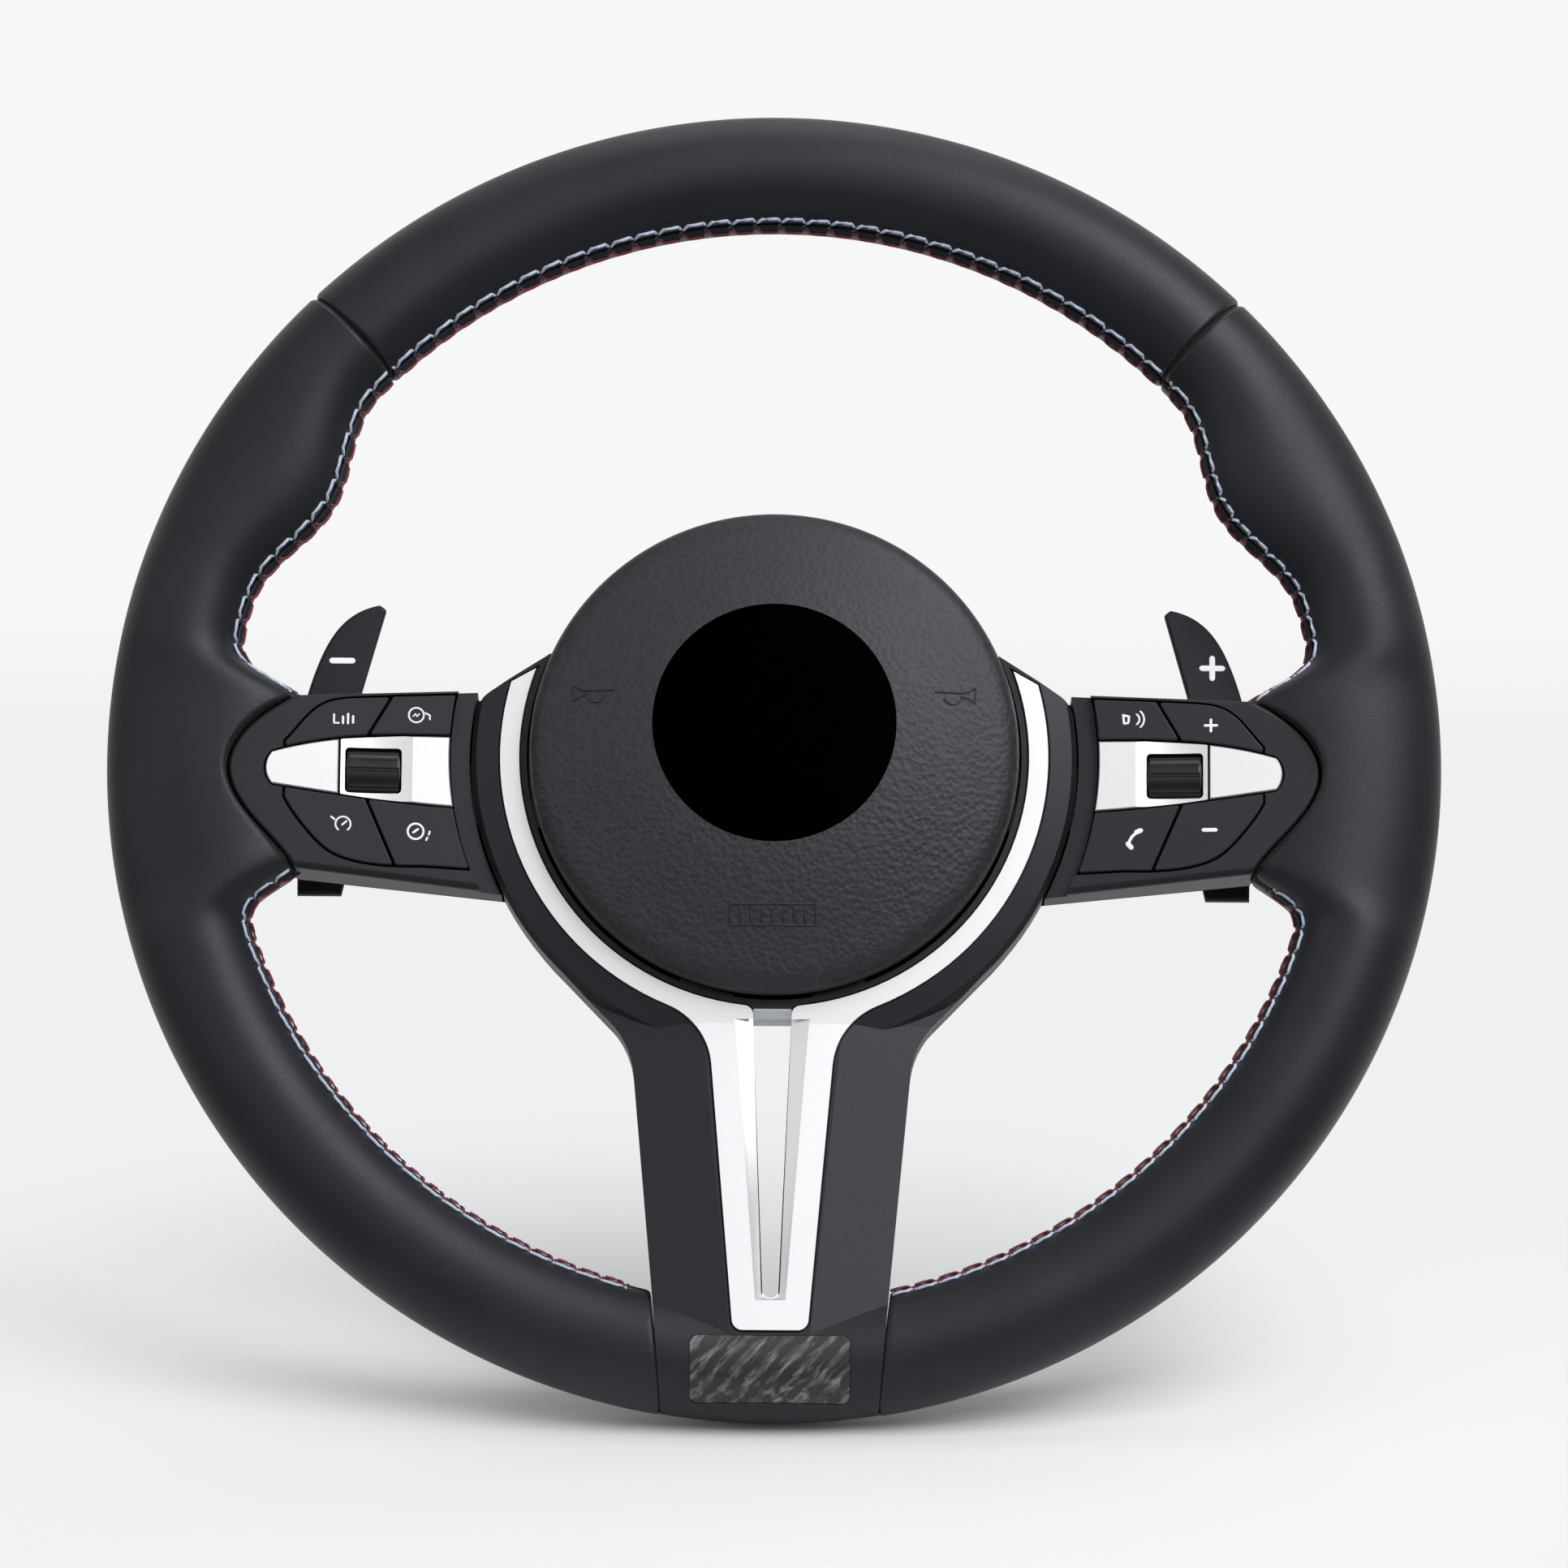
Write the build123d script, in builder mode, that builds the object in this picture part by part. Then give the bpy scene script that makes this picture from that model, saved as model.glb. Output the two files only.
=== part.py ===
"""Car steering wheel, built as separate pieces in millimetres.

The wheel's axis is Y, the driver sits on the -Y side, and twelve o'clock is +Z.
The origin is the mouth of the column bore, on the hub's rear seat.
A height is a distance from that seat towards the driver.
"""

from math import atan2, cos, exp, hypot, radians, sin, tan
from pathlib import Path

from build123d import *

# Rim
rim_radius = 187.0
rim_width = 33.3
rim_depth = 31.0
rim_plane = 52.0
core_radius = 5.0
leather_thickness = 1.2
glue_line = 0.05
seam_angle = 45.4
seam_gap = 0.4
thumb_angle, thumb_height, thumb_spread = 150.2, 9.6, 13.2
root_depth, root_top_angle, root_low_angle = 24.0, 171.2, 194.7

# Hub and lower spoke
bore_radius = 8.75
boss_radius, boss_height = 19.0, 30.0
plate_radius, plate_height = 63.0, 24.0
parting = 44.0
hub_radius, hub_face = 84.7, 59.0
cover_wall, cover_slope = 2.6, 0.15
spoke_bend_z, spoke_end_z = 8.7 - hub_radius, 22.0 - rim_radius
spoke_end_height = 66.4
slot_top, slot_end = 12.7 - hub_radius, spoke_end_z + 13.5
badge_size = (44.0, 18.0)
badge_z = 13.5 - rim_radius

# Airbag module
airbag_radius, airbag_gap = 68.4, 0.8
dome_height, dome_drop, dome_side = 77.0, 6.7, 13.5
shoulder_radius, skirt_radius = airbag_radius - 7.9, airbag_radius - 2.4
emblem_radius, emblem_z, emblem_depth = 34.0, 6.3, 1.3
base_height, base_thickness, flange_thickness = 44.0, 1.7, 1.6
inflator_radius, inflator_length = 29.9, 18.0
can_radius, can_wall = 51.5, 1.5
post_circle, post_radius = skirt_radius - 8.5, 3.0
play = 0.1

# Silver trim round the airbag and along the slot
opening_radius = airbag_radius + airbag_gap
trim_inner, trim_width = opening_radius + 2.1, 5.3
trim_outer = trim_inner + trim_width
trim_proud, trim_sunk, trim_gap = 0.8, 1.6, 0.6

# Switch panels
panel_tilt = 5.0
panel_height = 58.0
panel_root = 86.0
panel_end_radius, panel_start = hub_radius + 0.6, hub_radius + 6.2
panel_length = rim_radius - 34.4 - panel_start
button_gap = 0.6
button_depth, button_proud, strip_bevel = 6.0, 0.4, 0.3
pocket_depth = 9.0
roller_z, roller_radius = -5.0, 7.2
dish_radius, dish_depth = 60.0, 0.6
roller_length = 0.24 * panel_length

# Side spokes and paddles
spoke_rear, spoke_lean = 31.0, 30.0
spoke_low, spoke_low_hub = -33.2, -41.4
arm_z, arm_width = -8.0, 18.0
paddle_front, paddle_thickness = 25.6, 3.4
hinge_x, hinge_height = -hub_radius - 8.3, 25.0
pin_radius = 2.0
screw_radius = 1.9

rim_mean = rim_radius - rim_width / 2
arm_knee, arm_tip = rim_mean - 16.35, rim_mean + 7.15
rim_axis = Axis((0, -rim_plane, 0), (0, 1, 0))
hub_axis = Axis((0, 0, 0), (0, 1, 0))


def along(share):
    """X on the left panel, at a share of the way from the hub to the spoke's tip."""
    return -panel_start - share * panel_length


strip_split, roller_x = along(0.502), along(0.348)
lower_screws = [(x, z) for z in (spoke_bend_z - 4, spoke_end_z + 25) for x in (20, -20)]
side_screws = [(way * along(share), arm_z) for way in (1, -1) for share in (0.156, 0.669)]
post_spots = [(post_circle * cos(radians(a)), post_circle * sin(radians(a))) for a in (90, 210, 330)]


def front(height):
    """Plane that faces the driver at a height, with X to the right and Z up."""
    return Plane.XZ.offset(height)


def panel(depth=0.0):
    """Face of the left switch panel, sunk by a depth."""
    tilt = radians(panel_tilt)
    start = panel_height - panel_root * tan(tilt)
    face = Plane((0, -start, 0), x_dir=(cos(tilt), sin(tilt), 0), z_dir=(sin(tilt), -cos(tilt), 0))
    return face.offset(-depth)


panel_axis = Axis((0, 0, 0), panel().z_dir)


def rim_section(angle, radius):
    """Plane across the rim at an angle from +X, with X outward."""
    c, s = cos(radians(angle)), sin(radians(angle))
    return Plane((radius * c, -rim_plane, radius * s), x_dir=(c, 0, s), z_dir=(-s, 0, c))


def rim_inner(angle):
    """Inner radius of the rim: thumb pads and spoke roots stand inward on both sides."""
    angle = max(angle, 180 - angle)
    thumb = thumb_height * cos(radians(90 * min(1, abs(angle - thumb_angle) / thumb_spread))) ** 2
    upper = 1 / (1 + exp((root_top_angle - angle) / 0.9))
    lower = 1 / (1 + exp((angle - root_low_angle) / 0.8))
    return rim_radius - rim_width - thumb - root_depth * upper * lower


def rim_stretch(first, last, inset):
    """Solid stretch of the rim with its pads, smaller than the rim by an inset."""
    steps = [(90, 134, 6), (136, 166, 2), (167, 176, 0.75), (178, 190, 2), (191, 200, 0.75), (202, 268, 4)]
    left = [low + i * step for low, high, step in steps for i in range(int((high - low) / step) + 1)]
    angles = [180 - a for a in left[:0:-1]] + left
    angles = [first] + [a for a in angles if first + 0.4 < a < last - 0.4] + [last]
    with BuildPart(mode=Mode.PRIVATE) as stretch:
        for angle in angles:
            inner, outer = rim_inner(angle) + inset, rim_radius - inset
            with BuildSketch(rim_section(angle, (inner + outer) / 2)):
                Ellipse((outer - inner) / 2, rim_depth / 2 - inset)
        loft()
    return stretch.part


def grown(points, amount):
    """Outline points, listed anticlockwise, moved outward by an amount."""
    moved = []
    for i, (x, z) in enumerate(points):
        (x0, z0), (x1, z1) = points[max(i - 1, 0)], points[min(i + 1, len(points) - 1)]
        length = hypot(x1 - x0, z1 - z0)
        moved.append((x + amount * (z1 - z0) / length, z - amount * (x1 - x0) / length))
    return moved


def rim_arc(first, last, inset):
    """Plain stretch of the rim, turned about the wheel's axis."""
    with BuildPart(mode=Mode.PRIVATE) as arc:
        with BuildSketch(rim_section(first, rim_mean)):
            Ellipse(rim_width / 2 - inset, rim_depth / 2 - inset)
        revolve(axis=rim_axis, revolution_arc=first - last)
    return arc.part


def cover_outline(height, inset=0.0):
    """Hub ring and lower spoke seen from the driver."""
    with BuildSketch(front(height), mode=Mode.PRIVATE) as outline:
        Circle(hub_radius)
        with BuildLine():
            Polyline((0, 0), (0.719 * hub_radius, -0.694 * hub_radius), (39.3, spoke_bend_z - 5.2),
                     (32.9, spoke_end_z + 15), (29.4, -rim_radius - 5), (0, -rim_radius - 5))
            mirror(about=Plane.YZ)
        make_face()
        fillet(outline.vertices().filter_by(lambda v: 38 < abs(v.X) < 42 and v.Y < -70), 25)
        Polygon((61.4, 30.1), (110, -1.1), (110, 100), (-110, 100), (-110, -1.1), (-61.4, 30.1),
                align=None, mode=Mode.SUBTRACT)
        fillet(outline.vertices().filter_by(lambda v: abs(v.X) > 80), 9)
        if inset:
            offset(amount=-inset, kind=Kind.INTERSECTION)
    return outline.sketch


def slot_outline(height, grow=0.0, top=slot_top):
    """Tapered slot in the lower spoke."""
    with BuildSketch(front(height), mode=Mode.PRIVATE) as outline:
        with BuildLine():
            sides = Polyline((-2.1, slot_end), (-5.4, top), (5.4, top), (2.1, slot_end))
            ThreePointArc(sides @ 1, (0, slot_end - 2.1), sides @ 0)
        make_face()
        if grow:
            offset(amount=grow)
    return outline.sketch


def trim_outline(height, grow=0.0):
    """Silver ring with two legs."""
    with BuildSketch(front(height), mode=Mode.PRIVATE) as outline:
        Circle(trim_outer)
        Polygon((-19.2, -60), (19.2, -60), (10.3, spoke_end_z + 2), (-10.3, spoke_end_z + 2), align=None)
        fillet(outline.vertices().filter_by(lambda v: v.Y < spoke_end_z + 5), 3)
        fillet(outline.vertices().filter_by(lambda v: abs(v.X) < 25 and v.Y > spoke_end_z + 20), 20)
        Circle(trim_inner, mode=Mode.SUBTRACT)
        Polygon((66, 25.2), (110, 0.3), (110, 100), (-110, 100), (-110, 0.3), (-66, 25.2),
                align=None, mode=Mode.SUBTRACT)
        add(slot_outline(height, 0.5, -60), mode=Mode.SUBTRACT)
        fillet(outline.vertices().filter_by(lambda v: abs(v.X) < 8 and v.Y > spoke_end_z + 40), 2.5)
        if grow:
            offset(amount=grow, kind=Kind.INTERSECTION)
    return outline.sketch


def below_face(rise=0.0):
    """Space behind the front face: level at the hub, rising along the lower spoke."""
    with BuildPart(mode=Mode.PRIVATE) as space:
        with BuildSketch(Plane.YZ):
            Polygon((-30, 110), (-hub_face - rise, 110), (-hub_face - rise, spoke_bend_z),
                    (-spoke_end_height - rise, spoke_end_z), (-30, spoke_end_z), align=None)
        extrude(amount=100, both=True)
    return space.part


def below_crown(rise=0.0):
    """Space behind the covers' front face, which falls away outside the trim."""
    top = hub_face + rise
    ends = [(spoke_bend_z, top, 19.5), (spoke_end_z, spoke_end_height + rise, 11.0)]
    reach = 60.0
    with BuildPart(mode=Mode.PRIVATE) as space:
        for z, height, half in ends:
            with BuildSketch(Plane.XY.offset(z)):
                low = cover_slope * (reach - half) - height
                Polygon((-reach, -30), (-reach, low), (-half, -height), (half, -height), (reach, low),
                        (reach, -30), align=None)
        loft(ruled=True)
        extrude(space.faces().sort_by(Axis.Z)[-1], amount=40)
        with BuildSketch(Plane.XY):
            Polygon((0, -30), (0, -top), (trim_outer + 0.8, -top), (hub_radius - 1.4, 1.7 - top),
                    (hub_radius + 0.6, 4.2 - top), (hub_radius + 0.6, -30), align=None)
        revolve(axis=hub_axis)
    return space.part


def spoke_face(rise=0.0):
    """Plane of the trim on the lower spoke, raised by an amount, with its origin at the bend."""
    lean = atan2(spoke_end_height - hub_face, spoke_bend_z - spoke_end_z)
    face = Plane((0, -hub_face - trim_proud, spoke_bend_z), x_dir=(1, 0, 0), z_dir=(0, -cos(lean), sin(lean)))
    return face.offset(rise)


def lower_rim(inset):
    """Lowest stretch of the rim, which the covers form themselves."""
    with BuildPart(mode=Mode.PRIVATE) as piece:
        add(rim_arc(250, 290, inset + 0.25))
        extrude(cover_outline(parting, inset), amount=60, both=True, mode=Mode.INTERSECT)
    return piece.part


def dome(rise=0.0):
    """Solid under the airbag cover's outer face."""
    with BuildPart(mode=Mode.PRIVATE) as solid:
        with BuildSketch(Plane.XY):
            with BuildLine():
                crown = Spline((0, -dome_height - rise), (shoulder_radius, dome_drop - dome_height - rise),
                               (airbag_radius + rise, dome_side - dome_height), tangents=[(1, 0), (0, 1)])
                Polyline(crown @ 1, (airbag_radius + rise, -50), (0, -50), crown @ 0)
            make_face()
        revolve(axis=hub_axis)
    return solid.part


def rounds(height, radius, spots=((0, 0),)):
    """Circles on a plane that faces the driver."""
    with BuildSketch(front(height), mode=Mode.PRIVATE) as circles:
        with Locations(*spots):
            Circle(radius)
    return circles.sketch


def spoke_outline(height, inset=0.0):
    """Left side spoke: from inside the hub to the leather's curved edge."""
    curve = [(0.690, 16.4), (0.859, 10.0), (0.984, 0.2), (1.0, -4.6), (0.945, -14.5), (0.852, -21.6),
             (0.690, spoke_low)]
    edge = grown([(-55, 20.4), *((along(share), z) for share, z in curve), (-55, spoke_low_hub)], -inset)
    with BuildSketch(front(height), mode=Mode.PRIVATE) as outline:
        with BuildLine():
            Spline(*edge[1:-1])
            Polyline(edge[-2], edge[-1], edge[0], edge[1])
        make_face()
    return outline.sketch


def underside(inset=0.0):
    """Slanted plane that takes the lower rear corner off the left side spoke, facing out of it."""
    foot, lean = Vector(along(0.690), -parting, spoke_low), radians(spoke_lean)
    down = Vector(spoke_low_hub - spoke_low, 0, along(0.690) + 55).normalized()
    out = down * cos(lean) + Vector(0, 1, 0) * sin(lean)
    return Plane(foot - out * inset, z_dir=out)


def zone_outline(grow=0.0):
    """Area that the buttons fill, in the coordinates of the switch panel."""
    curve = [(-0.165, 17.8), (0.260, 16.5), (0.472, 15.6), (0.585, 13.7), (0.681, 8.2), (0.765, 2.2),
             (0.849, -5.0), (0.788, -9.8), (0.742, -14.4), (0.647, -22.4), (0.537, -28.6), (0.472, -30.3),
             (0.120, -32.1), (-0.165, -32.9)]
    edge = grown([(along(share), z) for share, z in curve], grow)
    with BuildSketch(mode=Mode.PRIVATE) as outline:
        with BuildLine():
            Spline(*edge[1:-1])
            Polyline(edge[-2], edge[-1], edge[0], edge[1])
        make_face()
        Circle(panel_start - grow, mode=Mode.SUBTRACT)
    return outline.sketch


def strip_outline(grow=0.0):
    """Silver wedge along the middle, in the coordinates of the switch panel."""
    with BuildSketch(mode=Mode.PRIVATE) as outline:
        with BuildLine():
            top = Spline((along(0.807), grow), (along(0.567), 3.4 + grow), (along(0.22), 5.2 + grow),
                         (along(-0.165), 5.2 + grow))
            low = Spline((along(-0.165), -15.4 - grow), (along(0.22), -14.0 - grow),
                         (along(0.567), -11.6 - grow), (along(0.807), -9.6 - grow))
            Line(top @ 1, low @ 0)
            ThreePointArc(low @ 1, (along(0.84) - grow, -4.9), top @ 0)
        make_face()
        Circle(panel_start - grow, mode=Mode.SUBTRACT)
    return outline.sketch


def strip_half(depth, way, bevel=0.0):
    """Face of the strip on one side of its split: way is -1 towards the rim, 1 towards the hub."""
    inset = button_gap / 2 + bevel
    with BuildSketch(panel(depth), mode=Mode.PRIVATE) as half:
        add(strip_outline(-inset))
        with Locations((strip_split + way * (inset + panel_length), roller_z)):
            Rectangle(2 * panel_length, 60, mode=Mode.INTERSECT)
    return half.sketch


def roller_opening(depth, grow=0.0):
    """Opening in the strip round the left roller."""
    with BuildSketch(panel(depth), mode=Mode.PRIVATE) as opening:
        with Locations((roller_x, roller_z)):
            RectangleRounded(roller_length + 1 + 2 * grow, 12.9 + 2 * grow, 1.2 + grow)
    return opening.sketch


def button(claim):
    """Key of the left panel: the part of the button area inside a rough claim."""
    with BuildPart(mode=Mode.PRIVATE) as key:
        with BuildSketch(panel(button_depth)):
            add(zone_outline(-button_gap / 2))
            Polygon(*claim, align=None, mode=Mode.INTERSECT)
            add(strip_outline(button_gap / 2), mode=Mode.SUBTRACT)
        extrude(amount=button_depth + button_proud)
        fillet(key.edges().filter_by(panel_axis), 0.6)
        fillet(key.faces().sort_by(panel_axis)[-1].edges(), 0.4)
    return key.part


def coil(start, direction, length, radius, wire, turns):
    """Helical spring between two planes."""
    with BuildPart(mode=Mode.PRIVATE) as spring:
        with BuildLine():
            path = Helix((length - 2 * wire) / turns, length - 2 * wire, radius, start, direction)
        with BuildSketch(Plane(path @ 0, z_dir=path % 0)):
            Circle(wire)
        sweep(path=path, is_frenet=True)
    return spring.part


def both_sides(solid):
    """Left piece and its mirror image."""
    return [solid, mirror(solid, about=Plane.YZ, mode=Mode.PRIVATE)]


# Frame of the wheel

with BuildPart() as rim_core:
    with Locations(front(rim_plane)):
        Torus(rim_mean, core_radius)

with BuildPart() as side_arm:
    with BuildSketch(Plane.XY.offset(arm_z)):
        Polygon((-40, -24), (-50, -24), (-66, -36), (16 - arm_knee, -36), (9 - arm_knee, -40.6),
                (-arm_knee, -41), (-arm_knee - 9, -46.5), (-arm_tip, -46.5), (-arm_tip, -57.5),
                (-arm_knee - 8, -57.5), (-arm_knee, -47.8), (12 - arm_knee, -47.5), (15 - arm_knee, -42.5),
                (-72, -42.5), (-68, -41), (-59, -41), (-46, -30), (-40, -30), align=None)
    extrude(amount=arm_width / 2, both=True)

with BuildPart() as arm_notch:
    with BuildSketch(front(38)):
        with Locations((4 - arm_knee, arm_z)):
            Rectangle(20, arm_width + 2)
    extrude(amount=10.4)

with BuildPart() as lower_arm:
    with BuildSketch(Plane.YZ.offset(-18.5)):
        Polygon((-24, -40), (-24, -46), (-37.4, -60), (-37.4, spoke_end_z + 19), (-46.5, spoke_end_z + 5),
                (-46.5, -arm_tip), (-57.5, -arm_tip), (-57.5, spoke_end_z + 7), (-46, spoke_end_z + 19),
                (-46, -76), (-43, -73), (-41, -66), (-41, -57), (-30, -44), (-30, -40), align=None)
    extrude(amount=7.5, both=True)

with BuildPart() as hub_casting:
    extrude(rounds(0, boss_radius), amount=boss_height)
    extrude(rounds(plate_height, plate_radius), amount=boss_height - plate_height)
    with BuildSketch(front(boss_height)):
        with PolarLocations(38, 3, start_angle=30):
            Circle(9)
    extrude(amount=plate_height - boss_height, mode=Mode.SUBTRACT)
    add(both_sides(side_arm.part) + both_sides(lower_arm.part))
    extrude(rounds(0, bore_radius), amount=boss_height, mode=Mode.SUBTRACT)
    add(rim_core.part, mode=Mode.SUBTRACT)
    extrude(rounds(boss_height, post_radius, post_spots), amount=-10, mode=Mode.SUBTRACT)
    extrude(rounds(34, screw_radius + 0.2, lower_screws + side_screws), amount=16, mode=Mode.SUBTRACT)

spoke_space = extrude(spoke_outline(rim_plane, -0.3), amount=40, both=True)
cover_space = extrude(cover_outline(rim_plane, -0.3), amount=40, both=True)

foam_inset = leather_thickness + glue_line
foam_halves = [rim_stretch(90, 264, foam_inset), rim_stretch(-84, 90, foam_inset)]
with BuildPart() as rim_foam:
    add(foam_halves)
    add(both_sides(spoke_space), mode=Mode.SUBTRACT)
    add(cover_space, mode=Mode.SUBTRACT)
    add(rim_core.part, mode=Mode.SUBTRACT)
    add(both_sides(side_arm.part), mode=Mode.SUBTRACT)

arc_outside = rim_arc(seam_angle + seam_gap / 2, 180 - seam_angle - seam_gap / 2, 0)
arc_inside = rim_arc(seam_angle - 1, 181 - seam_angle, leather_thickness)
with BuildPart() as upper_leather:
    add(arc_outside)
    add(arc_inside, mode=Mode.SUBTRACT)

grip_start = 180 - seam_angle + seam_gap / 2
grip_outside = rim_stretch(grip_start, 264, 0)
grip_inside = rim_stretch(grip_start - 1, 265, leather_thickness)
with BuildPart() as left_grip_leather:
    add(grip_outside)
    add(grip_inside, mode=Mode.SUBTRACT)
    add(spoke_space, mode=Mode.SUBTRACT)
    add(cover_space, mode=Mode.SUBTRACT)

# Covers of the hub and the lower spoke

lower_outside, lower_inside = lower_rim(0), lower_rim(cover_wall)
face_space, wall_space = below_crown(), below_crown(-cover_wall)
trim_floor, trim_top = below_face(-trim_sunk), below_face(trim_proud)
badge_floor, badge_top = rim_arc(250, 290, 0.9), rim_arc(250, 290, 0)

with BuildPart() as core_space:
    with Locations(front(rim_plane)):
        Torus(rim_mean, core_radius + 0.3)

with BuildPart() as cover_cavity:
    extrude(cover_outline(parting, cover_wall), amount=40)
    add(wall_space, mode=Mode.INTERSECT)
    add(lower_inside)
    extrude(rounds(parting, opening_radius + 2.2), amount=60, both=True, mode=Mode.SUBTRACT)
    extrude(slot_outline(parting, 2), amount=40, both=True, mode=Mode.SUBTRACT)

with BuildPart() as trim_pocket:
    extrude(trim_outline(parting, trim_gap), amount=40)
    add(trim_floor, mode=Mode.SUBTRACT)

with BuildPart() as badge_pocket:
    with BuildSketch(front(rim_plane + 4)):
        with Locations((0, badge_z)):
            RectangleRounded(badge_size[0] + 0.3, badge_size[1] + 0.3, 2)
    extrude(amount=40)
    add(badge_floor, mode=Mode.SUBTRACT)

with BuildPart() as front_cover:
    extrude(cover_outline(parting), amount=40)
    add(face_space, mode=Mode.INTERSECT)
    add(lower_outside)
    add(cover_cavity.part, mode=Mode.SUBTRACT)
    split(bisect_by=front(parting), keep=Keep.TOP)
    extrude(rounds(parting, opening_radius), amount=60, mode=Mode.SUBTRACT)
    extrude(slot_outline(parting), amount=40, mode=Mode.SUBTRACT)
    extrude(rounds(46.05, 4, lower_screws[:2]), amount=11.3)
    extrude(rounds(46.05, 4, lower_screws[2:]), amount=16.3)
    extrude(rounds(46.05, screw_radius + 0.05, lower_screws), amount=8.5, mode=Mode.SUBTRACT)
    add([trim_pocket.part, badge_pocket.part, core_space.part], mode=Mode.SUBTRACT)

slope_end = slot_end - spoke_bend_z - 2
with BuildPart() as trim_slope:
    with BuildSketch(spoke_face(0.1)):
        Polygon((-11.4, 12), (11.4, 12), (4.3, slope_end - 1.5), (-4.3, slope_end - 1.5), align=None)
    with BuildSketch(spoke_face(-1.9)):
        Polygon((-5.6, 12), (5.6, 12), (2.4, slope_end), (-2.4, slope_end), align=None)
    loft()

with BuildPart() as silver_trim:
    extrude(trim_outline(parting), amount=40)
    add(trim_top, mode=Mode.INTERSECT)
    add([trim_floor, trim_slope.part], mode=Mode.SUBTRACT)

with BuildPart() as spoke_badge_blank:
    with BuildSketch(front(rim_plane + 4)):
        with Locations((0, badge_z)):
            RectangleRounded(*badge_size, 2)
    extrude(amount=40)
    add(badge_top, mode=Mode.INTERSECT)
    add(badge_floor, mode=Mode.SUBTRACT)

with BuildPart() as rear_spoke:
    extrude(spoke_outline(spoke_rear, 0.25), amount=parting - 0.2 - spoke_rear)
    chamfer(rear_spoke.faces().sort_by(Axis.Y)[-1].edges(), 4)
    split(bisect_by=underside(), keep=Keep.BOTTOM)

with BuildPart() as rear_plate:
    extrude(cover_outline(34, 1), amount=parting - 0.2 - 34)
    split(bisect_by=Plane.XY.offset(spoke_end_z), keep=Keep.TOP)

with BuildPart() as rear_well:
    extrude(cover_outline(36.6, 3.6), amount=20)
    split(bisect_by=Plane.XY.offset(spoke_end_z + cover_wall), keep=Keep.TOP)

with BuildPart() as rear_space:
    extrude(spoke_outline(spoke_rear + cover_wall, 4.4), amount=20)
    split(bisect_by=underside(cover_wall), keep=Keep.BOTTOM)

with BuildPart() as rear_cavity:
    with BuildSketch(Plane.XY):
        Polygon((0, -10.6), (50.8, -10.6), (opening_radius - 2.5, -23.2), (opening_radius - 2.5, -60),
                (0, -60), align=None)
    revolve(axis=hub_axis)
    add(rear_well.part)
    add(both_sides(rear_space.part))
    add(lower_inside)
    extrude(slot_outline(parting, 2), amount=40, both=True, mode=Mode.SUBTRACT)

with BuildPart() as rear_cover:
    with BuildSketch(Plane.XY):
        Polygon((0, -8), (52, -8), (opening_radius - 1, -22), (opening_radius - 1, -57), (0, -57), align=None)
    revolve(axis=hub_axis)
    add(rear_plate.part)
    add(both_sides(rear_spoke.part))
    add(lower_outside)
    add(rear_cavity.part, mode=Mode.SUBTRACT)
    add(both_sides(arm_notch.part), mode=Mode.SUBTRACT)
    extrude(cover_outline(parting - 0.2, -0.3), amount=60, mode=Mode.SUBTRACT)
    extrude(rounds(5, 36), amount=8, mode=Mode.SUBTRACT)
    extrude(slot_outline(30), amount=20, mode=Mode.SUBTRACT)
    extrude(rounds(33.4, 4, side_screws), amount=2.55)
    extrude(rounds(36.4, 4, lower_screws), amount=0.95)
    add(core_space.part, mode=Mode.SUBTRACT)
    extrude(rounds(30, screw_radius + 0.2, side_screws + lower_screws), amount=12, mode=Mode.SUBTRACT)
    extrude(rounds(30, 3.6, side_screws), amount=3, mode=Mode.SUBTRACT)
    extrude(rounds(30, 3.6, lower_screws), amount=6, mode=Mode.SUBTRACT)
    for z in (-20, 14):
        with BuildSketch(Plane.XY.offset(z)):
            with Locations((hinge_x, -hinge_height - 2), (-hinge_x, -hinge_height - 2)):
                Rectangle(8, 12.4)
        extrude(amount=2, both=True)
    with BuildSketch(Plane.XY):
        with Locations((hinge_x, -hinge_height), (-hinge_x, -hinge_height)):
            Circle(pin_radius + 0.02)
    extrude(amount=30, both=True, mode=Mode.SUBTRACT)

with BuildPart() as cover_screws:
    extrude(rounds(31, 3.4, side_screws), amount=2)
    extrude(rounds(34, 3.4, lower_screws), amount=2)
    extrude(rounds(32, screw_radius, side_screws), amount=16.4)
    extrude(rounds(35, screw_radius, lower_screws), amount=19)

with BuildPart() as harness_socket:
    with BuildSketch(front(plate_height)):
        with Locations((0, 28)):
            RectangleRounded(22, 9, 1)
    extrude(amount=-11)
    with BuildSketch(front(plate_height - 11)):
        with Locations((0, 28)):
            Rectangle(19, 6)
    extrude(amount=8, mode=Mode.SUBTRACT)

# Airbag module and horn

base_top = base_height + base_thickness
flange_top = base_top + flange_thickness
inflator_rear = base_height - 11
bag_radius = can_radius - can_wall - 0.2
emblem_floor, emblem_top = dome(-emblem_depth), dome(0.1)
with BuildPart() as emblem_recess:
    extrude(rounds(60, emblem_radius, [(0, emblem_z)]), amount=30)
    add(emblem_floor, mode=Mode.SUBTRACT)

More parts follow.
